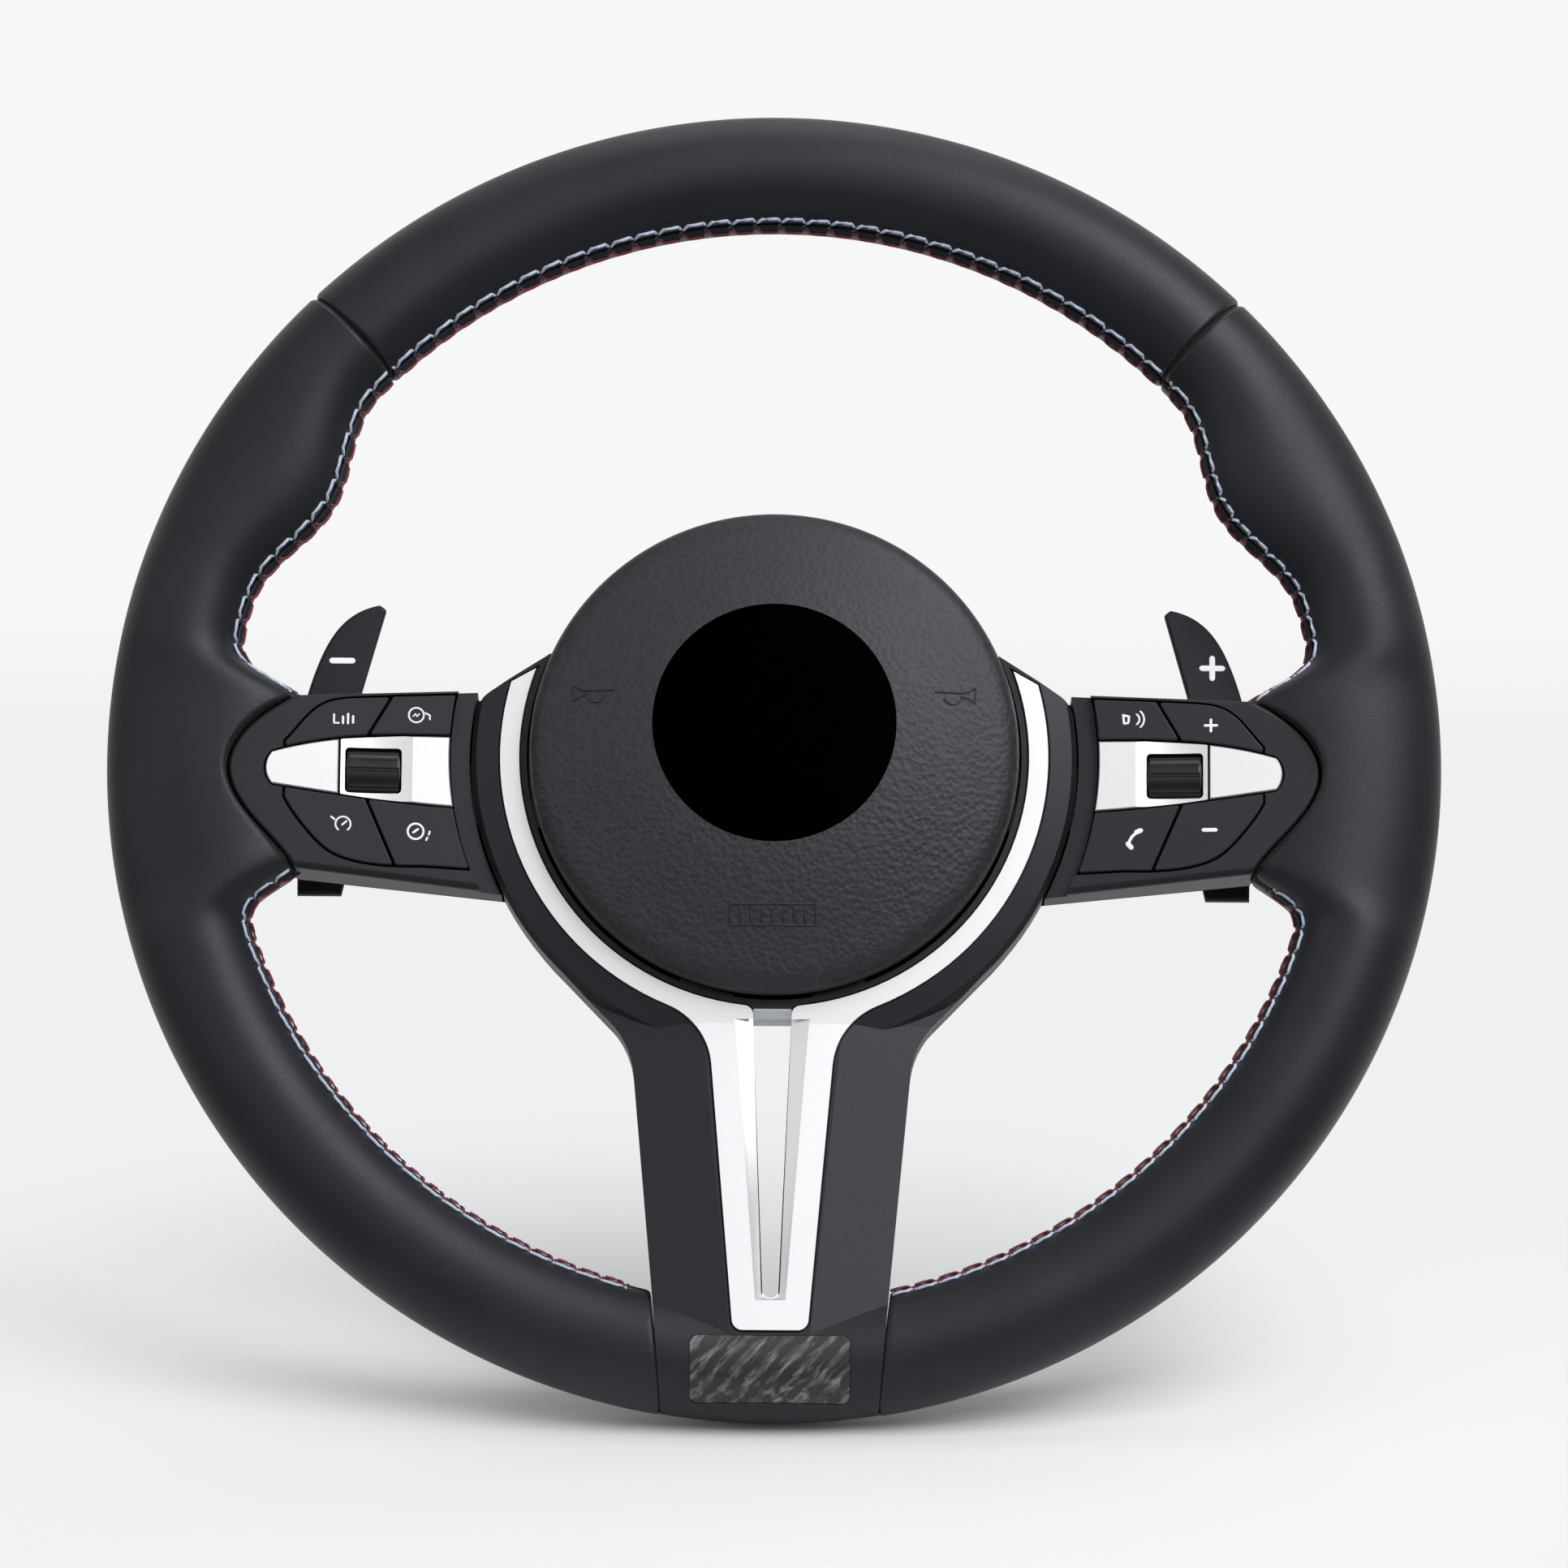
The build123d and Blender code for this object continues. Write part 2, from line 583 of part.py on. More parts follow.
with BuildPart() as airbag_cover:
    with BuildSketch(Plane.XY):
        with BuildLine():
            crown = Spline((0, -dome_height), (shoulder_radius, dome_drop - dome_height),
                           (airbag_radius, dome_side - dome_height), tangents=[(1, 0), (0, 1)])
            under = Spline((0, 3 - dome_height), (skirt_radius - 8.6, 9.4 - dome_height),
                           (skirt_radius - 2.6, 15 - dome_height), tangents=[(1, 0), (0, 1)])
            Polyline(crown @ 1, (airbag_radius, 15.5 - dome_height), (skirt_radius, 15.5 - dome_height),
                     (skirt_radius, -base_top - play), (skirt_radius - 2.6, -base_top - play), under @ 1)
            Line(under @ 0, crown @ 0)
        make_face()
    revolve(axis=hub_axis)
    add(emblem_recess.part, mode=Mode.SUBTRACT)

with BuildPart() as emblem_blank:
    extrude(rounds(60, emblem_radius - 0.15, [(0, emblem_z)]), amount=30)
    add(emblem_top, mode=Mode.INTERSECT)
    add(emblem_floor, mode=Mode.SUBTRACT)

stud_spots = [(40 * cos(radians(a)), 40 * sin(radians(a))) for a in (45, 135, 225, 315)]
with BuildPart() as airbag_can:
    extrude(rounds(base_height, skirt_radius - 0.5), amount=base_thickness)
    extrude(rounds(base_height, can_radius), amount=12)
    extrude(rounds(base_top, can_radius - can_wall), amount=12, mode=Mode.SUBTRACT)
    extrude(rounds(base_height, inflator_radius + 0.2), amount=12, mode=Mode.SUBTRACT)
    extrude(rounds(base_height, post_radius + 0.4, post_spots), amount=5, mode=Mode.SUBTRACT)
    extrude(rounds(base_height, 3.1, stud_spots), amount=5, mode=Mode.SUBTRACT)

with BuildPart() as inflator:
    extrude(rounds(inflator_rear, inflator_radius), amount=inflator_length)
    extrude(rounds(base_top, 46), amount=flange_thickness)
    extrude(rounds(base_height - 6, 3, stud_spots), amount=8.5)

with BuildPart() as inflator_nuts:
    with BuildSketch(front(base_height)):
        with Locations(*stud_spots):
            RegularPolygon(5, 6)
            Circle(3.02, mode=Mode.SUBTRACT)
    extrude(amount=-4.5)

with BuildPart() as airbag_cushion:
    with BuildSketch(Plane.XY):
        Polygon((0, -inflator_rear - inflator_length - play),
                (inflator_radius + 0.3, -inflator_rear - inflator_length - play),
                (inflator_radius + 0.3, -flange_top - play), (bag_radius, -flange_top - play),
                (bag_radius, 15 - dome_height), (bag_radius - 5.8, 11.5 - dome_height), (0, 8 - dome_height),
                align=None)
    revolve(axis=hub_axis)

with BuildPart() as horn_posts:
    extrude(rounds(plate_height, post_radius, post_spots), amount=base_top + 0.5 - plate_height)
    extrude(rounds(base_top + 0.3, post_radius + 1.6, post_spots), amount=2)

spring_wire, spring_length = 0.6, base_height - boss_height - play
horn_coils = [coil((x, -boss_height - play - spring_wire, z), (0, -1, 0), spring_length, post_radius + 1.3,
                   spring_wire, 5) for x, z in post_spots]
with BuildPart() as horn_springs:
    add(horn_coils)

# Left switch panel

tip, half_gap = along(0.748), 0.58 * button_gap
upper_split, lower_split = (along(0.470), along(0.137)), (along(0.437), along(0.187))
keys = {
    "upper_outer": button([(tip, -5), (tip, 30), (upper_split[1] - half_gap, 30),
                           (upper_split[0] - half_gap, -5)]),
    "upper_inner": button([(upper_split[0] + half_gap, -5), (upper_split[1] + half_gap, 30), (-70, 30),
                           (-70, -5)]),
    "lower_outer": button([(tip, -5), (lower_split[0] - half_gap, -5), (lower_split[1] - half_gap, -40.3),
                           (tip, -45)]),
    "lower_inner": button([(lower_split[0] + half_gap, -5), (lower_split[1] + half_gap, -40.3), (-70, -45),
                           (-70, -5)]),
}

with BuildPart() as left_strip_button:
    extrude(strip_half(button_depth, -1), amount=button_depth)
    loft([strip_half(0, -1), strip_half(-button_proud, -1, strip_bevel)], ruled=True)

with BuildPart() as left_strip:
    extrude(strip_half(1.8, 1), amount=1.8)
    loft([strip_half(0, 1), strip_half(-button_proud, 1, strip_bevel)], ruled=True)
    extrude(roller_opening(1.8), amount=4, mode=Mode.SUBTRACT)
    loft([roller_opening(0.1), roller_opening(-button_proud - 0.1, 0.6)], ruled=True, mode=Mode.SUBTRACT)
    dish_centre = panel(dish_depth - dish_radius).from_local_coords((roller_x, roller_z, 0))
    with BuildSketch(Plane(dish_centre, x_dir=panel().x_dir, z_dir=panel().y_dir)):
        Circle(dish_radius)
    extrude(amount=20, both=True, mode=Mode.SUBTRACT)

roller_post = roller_length / 2 + 1.45
roller_centre = panel(5.8).from_local_coords((roller_x, roller_z, 0))
roller_plane = Plane(roller_centre, x_dir=(0, 0, 1), z_dir=panel().x_dir)
with BuildPart() as left_roller:
    with BuildSketch(roller_plane):
        Circle(roller_radius)
    extrude(amount=roller_length / 2, both=True)
    fillet(left_roller.edges().filter_by(GeomType.CIRCLE), 0.7)
    with BuildSketch(roller_plane):
        with PolarLocations(roller_radius + 0.15, 8):
            Circle(0.6)
    extrude(amount=roller_length, both=True, mode=Mode.SUBTRACT)
    with BuildSketch(roller_plane):
        Circle(1.4)
    extrude(amount=roller_length / 2 + 1.8, both=True)

with BuildPart() as left_switch_housing:
    extrude(spoke_outline(parting + 0.2, 0.25), amount=40)
    split(bisect_by=panel(), keep=Keep.BOTTOM)
    extrude(rounds(parting, panel_end_radius), amount=40, mode=Mode.SUBTRACT)
    top = left_switch_housing.faces().sort_by(panel_axis)[-1]
    fillet(top.edges().filter_by(lambda e: e.center().Z < -30), 2)
    top = left_switch_housing.faces().sort_by(panel_axis)[-1]
    fillet(top.edges().filter_by(lambda e: e.center().X < -90 and e.center().Z > -30), 1)
    with BuildSketch(panel(pocket_depth)):
        add(zone_outline(button_gap / 2))
        with Locations((tip - button_gap - 20, roller_z)):
            Rectangle(40, 80, mode=Mode.SUBTRACT)
        add(strip_outline(button_gap / 2))
    extrude(amount=20, mode=Mode.SUBTRACT)
    with BuildSketch(panel(13.5)):
        with Locations((roller_x, roller_z)):
            Rectangle(roller_length + 1.8, 15.8)
    extrude(amount=10, mode=Mode.SUBTRACT)
    with BuildSketch(panel(pocket_depth)):
        with Locations((roller_x - roller_post, roller_z), (roller_x + roller_post, roller_z)):
            Rectangle(1.1, 8)
    extrude(amount=pocket_depth - 1.85)
    with BuildSketch(roller_plane):
        Circle(1.46)
    extrude(amount=roller_length, both=True, mode=Mode.SUBTRACT)
    with BuildSketch(panel(3.5)):
        Circle(panel_start - 0.3)
    extrude(amount=20, mode=Mode.SUBTRACT)
    add(arm_notch.part, mode=Mode.SUBTRACT)
    extrude(rounds(42.55, 4, side_screws[:2]), amount=2)
    extrude(rounds(42.55, screw_radius + 0.05, side_screws[:2]), amount=6.2, mode=Mode.SUBTRACT)

key_shares = [(0.573, 9), (0.156, 11), (0.541, -19), (0.14, -22), (0.653, -5)]
key_spots = [(along(share), z) for share, z in key_shares]
with BuildPart() as left_switch_board:
    with BuildSketch(panel(pocket_depth)):
        add(zone_outline(-0.8))
        with Locations((tip - 20, roller_z)):
            Rectangle(40, 80, mode=Mode.SUBTRACT)
        with Locations((roller_x, roller_z)):
            Rectangle(roller_length + 5, 16.4, mode=Mode.SUBTRACT)
    extrude(amount=1.6)
    with BuildSketch(panel(pocket_depth - 1.6)):
        with Locations(*key_spots):
            Circle(1.8)
    extrude(amount=0.6)

# Left paddle

with BuildPart() as left_paddle:
    with BuildSketch(front(paddle_front)) as blade:
        with BuildLine():
            edge = Spline((-135, -8), (-135.2, 10), (-130.4, 31.5), (-122.6, 45.4), (-112.4, 50.6))
            Polyline(edge @ 1, (-110.6, 49.2), (-117.2, 25.3), (-112, 10), (-95, 10), (-95, -16), (-118, -16),
                     (-122.1, -33.6), (-134.5, -33.6), edge @ 0)
        make_face()
        fillet(blade.vertices().sort_by(Axis.Y)[-2:], 0.8)
    extrude(amount=-paddle_thickness)
    fillet(left_paddle.faces().filter_by(Axis.Y).edges(), 1)
    with BuildSketch(Plane.XY.offset(-17.7)):
        with Locations((hinge_x, -hinge_height)):
            Circle(4.2)
    extrude(amount=29.4)
    with BuildSketch(Plane.XY.offset(-6.3)):
        with Locations((hinge_x, -hinge_height)):
            Circle(4.8)
    extrude(amount=6.6, mode=Mode.SUBTRACT)
    with BuildSketch(Plane.XY):
        with Locations((hinge_x, -hinge_height)):
            Circle(pin_radius + 0.06)
    extrude(amount=60, both=True, mode=Mode.SUBTRACT)

with BuildPart() as left_paddle_pin:
    with BuildSketch(Plane.XY.offset(-22.2)):
        with Locations((hinge_x, -hinge_height)):
            Circle(pin_radius)
    extrude(amount=38.4)

left_coil = coil((hinge_x, -hinge_height, -5.4), (0, 0, 1), 5.8, 3.0, 0.45, 4)
with BuildPart() as left_paddle_spring:
    add(left_coil)

with BuildPart() as left_paddle_switch:
    with BuildSketch(front(spoke_rear)):
        with Locations((-112, -4)):
            Rectangle(12, 7)
    extrude(amount=-2.6)
    extrude(rounds(28.4, 1.2, [(-112, -4)]), amount=-0.9)

pieces = {
    "hub_casting": hub_casting, "rim_core": rim_core, "rim_foam": rim_foam,
    "upper_leather": upper_leather, "left_grip_leather": left_grip_leather,
    "front_cover": front_cover, "silver_trim": silver_trim, "spoke_badge_blank": spoke_badge_blank,
    "rear_cover": rear_cover, "cover_screws": cover_screws, "harness_socket": harness_socket,
    "airbag_cover": airbag_cover, "emblem_blank": emblem_blank, "airbag_can": airbag_can,
    "inflator": inflator, "inflator_nuts": inflator_nuts, "airbag_cushion": airbag_cushion,
    "horn_posts": horn_posts, "horn_springs": horn_springs,
    "left_strip_button": left_strip_button, "left_strip": left_strip, "left_roller": left_roller,
    "left_switch_housing": left_switch_housing, "left_switch_board": left_switch_board,
    "left_paddle": left_paddle, "left_paddle_pin": left_paddle_pin,
    "left_paddle_spring": left_paddle_spring, "left_paddle_switch": left_paddle_switch,
}
for name, key in keys.items():
    with BuildPart() as left_key:
        add(key)
    pieces[f"left_button_{name}"] = left_key
for name, piece in list(pieces.items()):
    if name.startswith("left_"):
        with BuildPart() as twin:
            mirror(piece.part, about=Plane.YZ)
        pieces[name.replace("left", "right", 1)] = twin

Path("parts").mkdir(exist_ok=True)
for name, piece in pieces.items():
    piece.part.label = name
    export_step(piece.part, f"parts/{name}.step")
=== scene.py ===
"""Looks of a car steering wheel: leather, thread, plastics, symbols, stage and camera.

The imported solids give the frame: the wheel's axis is Y, the driver sits on the -Y side,
twelve o'clock is +Z, and the origin is the mouth of the column bore.
"""

from math import atan2, cos, exp, hypot, pi, radians, sin, sqrt, tau

import bmesh
import bpy
from bpy.props import FloatProperty, FloatVectorProperty, PointerProperty
from bpy.types import Operator, Panel, PropertyGroup
from mathutils import Matrix, Vector
from mathutils.bvhtree import BVHTree
from mathutils.geometry import convex_hull_2d


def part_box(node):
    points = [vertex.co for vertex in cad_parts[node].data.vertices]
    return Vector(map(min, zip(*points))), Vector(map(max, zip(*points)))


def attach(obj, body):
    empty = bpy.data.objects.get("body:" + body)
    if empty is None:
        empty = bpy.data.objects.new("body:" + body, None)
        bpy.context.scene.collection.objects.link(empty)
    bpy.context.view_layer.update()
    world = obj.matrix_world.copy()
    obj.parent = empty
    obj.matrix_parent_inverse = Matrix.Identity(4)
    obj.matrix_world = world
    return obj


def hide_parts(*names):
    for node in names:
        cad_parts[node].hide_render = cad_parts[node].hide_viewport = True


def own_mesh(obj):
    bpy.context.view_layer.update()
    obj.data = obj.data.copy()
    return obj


bl_info = {
    "name": "Steering Wheel Looks",
    "version": (1, 0, 0),
    "blender": (4, 5, 0),
    "location": "3D View > Sidebar > Wheel",
    "description": "Dresses the packed steering wheel and sets its stage",
    "category": "Object",
}

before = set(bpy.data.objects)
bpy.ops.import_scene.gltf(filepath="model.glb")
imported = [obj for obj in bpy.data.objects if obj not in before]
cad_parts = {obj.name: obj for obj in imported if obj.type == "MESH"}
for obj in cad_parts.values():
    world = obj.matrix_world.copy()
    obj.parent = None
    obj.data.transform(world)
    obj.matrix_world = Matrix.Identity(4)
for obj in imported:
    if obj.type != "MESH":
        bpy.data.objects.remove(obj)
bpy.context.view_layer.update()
rim_low, rim_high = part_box("upper_leather")
mm = 0.001
sides = {"left": -1, "right": 1}
cool_gleam = (0.84, 0.89, 1.0, 1.0)
covers = ("upper", "left_grip", "right_grip")


def length(name, description, default):
    """A size in metres."""
    return FloatProperty(name=name, description=description, default=default, unit="LENGTH", precision=5)


def angle(name, description, default):
    """An angle, given in degrees."""
    return FloatProperty(name=name, description=description, default=radians(default), subtype="ANGLE")


def colour(name, description, default):
    """A linear colour."""
    return FloatVectorProperty(name=name, description=description, default=default, subtype="COLOR",
                               min=0, max=1)


def amount(name, description, default):
    """A plain number."""
    return FloatProperty(name=name, description=description, default=default)


class WheelSizes(PropertyGroup):
    """Sizes of the sewn and printed pieces."""

    rim_radius: length("Rim radius", "Outer radius of the rim", rim_high.z)
    rim_depth: length("Rim depth", "Rim size along the column", rim_high.y - rim_low.y)
    rim_plane: length("Rim plane", "Distance of the rim's middle from the hub seat",
                      -(rim_low.y + rim_high.y) / 2)
    rim_width: length("Rim width", "Plain rim size across the grip", 0.0333)
    thumb_height: length("Thumb pad", "How far a thumb pad stands inward", 0.0096)
    thumb_place: angle("Thumb pad place", "Angle of the left thumb pad", 150.2)
    thumb_spread: angle("Thumb pad spread", "Half the angle that a thumb pad takes", 13.2)
    root_depth: length("Spoke root", "How far the rim swells towards a side spoke", 0.024)
    root_top: angle("Root top", "Angle where the left root starts", 171.2)
    root_low: angle("Root low end", "Angle where the left root ends", 194.7)
    joint_place: angle("Leather joint", "Angle of the joints between the leather covers", 45.4)
    joint_gap: length("Joint gap", "Gap between two leather covers", 0.0005)
    leather: length("Leather", "Thickness of the leather", 0.0011)
    tuck: length("Tuck", "Radius that a leather edge is turned in by", 0.0017)
    seam_place: angle("Seam place", "Angle of the sewn seam from the inner side towards the driver", 17)
    seam_gap: length("Seam gap", "Gap between the two sewn edges", 0.0016)
    pitch: length("Stitch pitch", "Distance from stitch to stitch", 0.007)
    thread: length("Thread", "Radius of the thread", 0.00045)
    print_height: length("Print", "Height of the printed symbols", 0.00007)
    horn_mark: length("Horn mark", "Height of the raised horn marks", 0.00036)
    lower_mark: length("Lower mark", "Height of the raised frame at the airbag cover's foot", 0.00034)
    slot_top: length("Slot top", "Place of the lower spoke's slot at its wide end", -0.072)
    slot_low: length("Slot foot", "Place of the lower spoke's slot at its narrow end", -0.152)
    slot_half_top: length("Slot top half", "Half the slot's width at its wide end", 0.00545)
    slot_half_low: length("Slot foot half", "Half the slot's width at its narrow end", 0.00215)
    horn_stroke: length("Horn stroke", "How far the airbag module presses in", 0.0015)


class WheelColours(PropertyGroup):
    """Colours of the wheel's finishes."""

    leather: colour("Leather", "Leather of the rim", (0.0105, 0.0107, 0.0125))
    thread_front: colour("Front thread", "Thread of the front row", (0.54, 0.64, 0.88))
    thread_rear: colour("Rear thread", "Thread of the rear row", (0.2, 0.022, 0.04))
    thread_cross: colour("Cross thread", "Thread across the seam", (0.012, 0.016, 0.05))
    plastic: colour("Plastic", "Covers and switch housings", (0.0105, 0.0107, 0.0118))
    airbag: colour("Airbag cover", "Skin of the airbag cover", (0.019, 0.0192, 0.0205))
    silver: colour("Silver", "Satin silver trim", (0.83, 0.835, 0.85))
    keys: colour("Keys", "Dark keys and paddles", (0.0125, 0.0127, 0.0145))
    symbol: colour("Symbols", "Printed symbols", (0.82, 0.83, 0.85))
    floor: colour("Floor", "Pale floor", (0.85, 0.855, 0.87))


class WheelStage(PropertyGroup):
    """Camera and light."""

    distance: length("Distance", "Camera to the rim's middle", 2.5)
    below: angle("View from below", "Angle of the camera below the wheel's axis", 12)
    roll: angle("Roll", "Turn of the picture", 0.4)
    width: length("Picture width", "Width of the picture at the rim", 0.4396)
    aim_right: length("Aim right", "Aim to the right of the rim's middle", 0.0028)
    aim_down: length("Aim down", "Aim below the rim's middle", 0.0062)
    backdrop: amount("Backdrop", "Brightness of the background", 0.94)
    ambient: amount("Ambient", "Brightness of the surroundings in front", 0.22)
    glow: amount("Glow", "Brightness of the bright wall that flat faces mirror", 0.82)
    key: amount("Key light", "Power of the key light in watts", 14)
    fill: amount("Fill light", "Power of the fill light in watts", 3.5)
    window: amount("Window light", "Power of the light from the right in watts", 6)
    top: amount("Top light", "Power of the top light in watts", 5)


# Shader values and finishes


def pick(sockets, key):
    """Socket by number, identifier or name."""
    if isinstance(key, int):
        return sockets[key]
    return next((s for s in sockets if s.identifier == key), None) or sockets[key]


class Shade:
    """A shader value: Python operators on it add Math nodes."""

    def __init__(self, nodes, socket):
        self.nodes, self.socket = nodes, socket

    def join(self, operation, first, second):
        """Value of a Math node on two values."""
        return self.nodes.node("ShaderNodeMath", {"operation": operation}, {0: first, 1: second})

    def __add__(self, other):
        return self.join("ADD", self, other)

    def __radd__(self, other):
        return self.join("ADD", other, self)

    def __sub__(self, other):
        return self.join("SUBTRACT", self, other)

    def __rsub__(self, other):
        return self.join("SUBTRACT", other, self)

    def __mul__(self, other):
        return self.join("MULTIPLY", self, other)

    def __rmul__(self, other):
        return self.join("MULTIPLY", other, self)


class Nodes:
    """A node tree that is written from one method."""

    def __init__(self, tree):
        self.tree = tree
        tree.nodes.clear()

    def node(self, kind, settings=None, inputs=None, output=0):
        """Adds a node, sets it up, feeds its sockets and gives one of its outputs."""
        made = self.tree.nodes.new(kind)
        for key, value in (settings or {}).items():
            setattr(made, key, value)
        for key, value in (inputs or {}).items():
            socket = pick(made.inputs, key)
            if isinstance(value, Shade):
                self.tree.links.new(value.socket, socket)
            else:
                socket.default_value = value
        return Shade(self, pick(made.outputs, output)) if made.outputs else made

    def place(self, output="Object"):
        """Position on the piece."""
        return self.node("ShaderNodeTexCoord", output=output)

    def noise(self, scale, detail=3.0, vector=None, roughness=0.5):
        """Cloudy value round 0.5."""
        return self.node("ShaderNodeTexNoise", {}, {"Vector": vector or self.place(), "Scale": scale,
                                                    "Detail": detail, "Roughness": roughness})

    def cells(self, scale, smooth=0.6):
        """Rounded cells, as in leather grain."""
        return self.node("ShaderNodeTexVoronoi", {"feature": "SMOOTH_F1"},
                         {"Vector": self.place(), "Scale": scale, "Smoothness": smooth}, "Distance")

    def span(self, value, low, high, to_low=0.0, to_high=1.0):
        """Value carried from one span to another, held at its ends."""
        return self.node("ShaderNodeMapRange", {"clamp": True},
                         {"Value": value, "From Min": low, "From Max": high,
                          "To Min": to_low, "To Max": to_high})

    def mix(self, share, first, second):
        """Colour between two colours."""
        return self.node("ShaderNodeMix", {"data_type": "RGBA"},
                         {"Factor_Float": share, "A_Color": first, "B_Color": second}, "Result_Color")


class Finish(Nodes):
    """Material with one surface shader."""

    def __init__(self, name):
        self.material = bpy.data.materials.new(name)
        self.material.use_nodes = True
        super().__init__(self.material.node_tree)

    def surface(self, height=None, depth=0.1 * mm, strength=1.0, **sockets):
        """Closes the material: sockets are the shader's own, with spaces as underscores."""
        feeds = {key.replace("_", " "): value for key, value in sockets.items()}
        if height is not None:
            feeds["Normal"] = self.node("ShaderNodeBump", {}, {"Height": height, "Distance": depth,
                                                              "Strength": strength})
        shader = self.node("ShaderNodeBsdfPrincipled", {}, feeds)
        self.node("ShaderNodeOutputMaterial", {}, {"Surface": shader})
        return self.material

    def mottled(self, clouds, tone, dark, light):
        """Tone that goes from dark to light with a cloudy value."""
        cloud_low, cloud_high = 0.3, 0.7
        return self.mix(self.span(clouds, cloud_low, cloud_high), rgba(tone, dark), rgba(tone, light))


def rgba(tone, factor=1.0):
    """Colour with alpha, made lighter or darker."""
    return (*(min(1.0, c * factor) for c in tone), 1.0)


def leather_finish(tone):
    """Smooth wheel leather: fine pores, soft mottling and a low sheen."""
    f = Finish("wheel leather")
    mottle, grain, pores = f.noise(38, 4), f.cells(1150), f.noise(5200, 2)
    worn = f.span(f.noise(11, 3), 0.35, 0.7)
    return f.surface(Base_Color=f.mottled(mottle, tone, 0.8, 1.25),
                     Roughness=0.4 + 0.1 * worn + 0.06 * grain, Specular_IOR_Level=0.38,
                     Specular_Tint=cool_gleam, Sheen_Weight=0.03, Sheen_Roughness=0.5,
                     height=grain * 0.7 + pores * 0.3, depth=0.05 * mm, strength=0.55)


def foam_finish():
    """Moulded foam under the leather, seen only in the gaps."""
    f = Finish("rim foam")
    bubbles = f.cells(900)
    return f.surface(Base_Color=f.mix(bubbles, (0.004, 0.004, 0.005, 1), (0.009, 0.009, 0.01, 1)),
                     Roughness=0.9, height=bubbles)


def thread_finish(name, tone):
    """Twisted sewing thread."""
    f = Finish(name)
    strands = f.noise(2600, 3)
    return f.surface(Base_Color=f.mottled(strands, tone, 0.65, 1.25), Roughness=0.62, Sheen_Weight=0.25,
                     height=strands, depth=0.2 * mm, strength=0.7)


def slot_paint(f):
    """Share of paint: 1 on the walls of the lower spoke's slot and 0 beside them."""
    s = bpy.context.scene.wheel_sizes
    spot = f.place()
    x, z = (f.node("ShaderNodeSeparateXYZ", {}, {0: spot}, axis) for axis in "XZ")
    half = f.span(z, s.slot_low, s.slot_top, s.slot_half_low, s.slot_half_top)
    beside = f.node("ShaderNodeMath", {"operation": "ABSOLUTE"}, {0: x}) - half
    head, head_fade = s.slot_top + 0.1 * mm, 0.2 * mm
    foot, foot_fade = s.slot_low - 3.5 * mm, 0.5 * mm
    side_fade = 0.02 * mm
    return (f.span(beside, 0.0, side_fade, 1.0, 0.0) * f.span(z, head + head_fade, head)
            * f.span(z, foot - foot_fade, foot))


def plastic_finish(name, tone, roughness=0.45, grain_scale=1500, relief=0.04 * mm, lined=None, gloss=0.4):
    """Moulded plastic: fine spark-eroded grain, with paint on the walls of the slot if it is lined."""
    f = Finish(name)
    grain, clouds = f.noise(grain_scale, 2, roughness=0.7), f.noise(16, 3)
    feeds = {"Base_Color": f.mottled(clouds, tone, 0.88, 1.14),
             "Roughness": roughness + 0.08 * clouds + 0.05 * grain}
    if lined is not None:
        paint = slot_paint(f)
        feeds["Base_Color"] = f.mix(paint, feeds["Base_Color"], rgba(lined))
        feeds["Metallic"] = paint * 0.6
    return f.surface(**feeds, Specular_IOR_Level=gloss, Specular_Tint=cool_gleam, height=grain, depth=relief,
                     strength=0.6)


def airbag_finish(tone):
    """Soft moulded skin with a pebbled grain that fades out towards the top."""
    f = Finish("airbag skin")
    z = f.node("ShaderNodeSeparateXYZ", {}, {0: f.place()}, "Z")
    pebble, fine, clouds = f.cells(640, smooth=0.3), f.noise(2000, 3), f.noise(20, 3)
    faint_from, full_from, faint = 0.055, -0.02, 0.25
    relief = (pebble * 0.7 + fine * 0.3) * f.span(z, faint_from, full_from, faint, 1.0)
    tint = f.mix(f.span(pebble, 0.1, 0.6), rgba(tone, 0.75), rgba(tone, 1.25))
    return f.surface(Base_Color=tint, Roughness=0.44 + 0.1 * clouds, Specular_IOR_Level=0.45,
                     Specular_Tint=cool_gleam, height=relief, depth=0.36 * mm, strength=0.9)


def silver_finish(tone):
    """Satin silver paint with fine flakes."""
    f = Finish("satin silver")
    flakes, clouds = f.noise(6000, 2, roughness=0.8), f.noise(30, 2)
    return f.surface(Base_Color=f.mottled(flakes, tone, 0.93, 1.04), Metallic=0.75,
                     Roughness=0.36 + 0.06 * clouds + 0.04 * flakes, height=flakes, depth=0.01 * mm,
                     strength=0.4)


def gloss_finish(name, tone, roughness=0.16, specular=0.5, painted_glow=0.0):
    """Polished plastic with faint wiping marks; a glow of its own colour is painted light, as it is no lamp.
    """
    f = Finish(name)
    marks = f.noise(140, 4, roughness=0.65)
    return f.surface(Base_Color=f.mix(marks, rgba(tone, 0.85), rgba(tone, 1.15)),
                     Roughness=roughness + 0.07 * f.span(marks, 0.4, 0.75), Specular_IOR_Level=specular,
                     # Painted light: this emission makes the piece glow in its own colour.
                     Emission_Color=rgba(tone), Emission_Strength=painted_glow,
                     height=f.noise(900, 2), depth=0.004 * mm, strength=0.4)


def blank_finish():
    """Deep black blank disc in the middle of the airbag cover."""
    f = Finish("black blank")
    marks = f.noise(180, 4, roughness=0.7)
    return f.surface(Base_Color=f.mix(marks, (0.0, 0.0, 0.0, 1), (0.0002, 0.0002, 0.0002, 1)),
                     Roughness=0.28 + 0.12 * marks, Specular_IOR_Level=0.004, height=marks, depth=0.01 * mm)


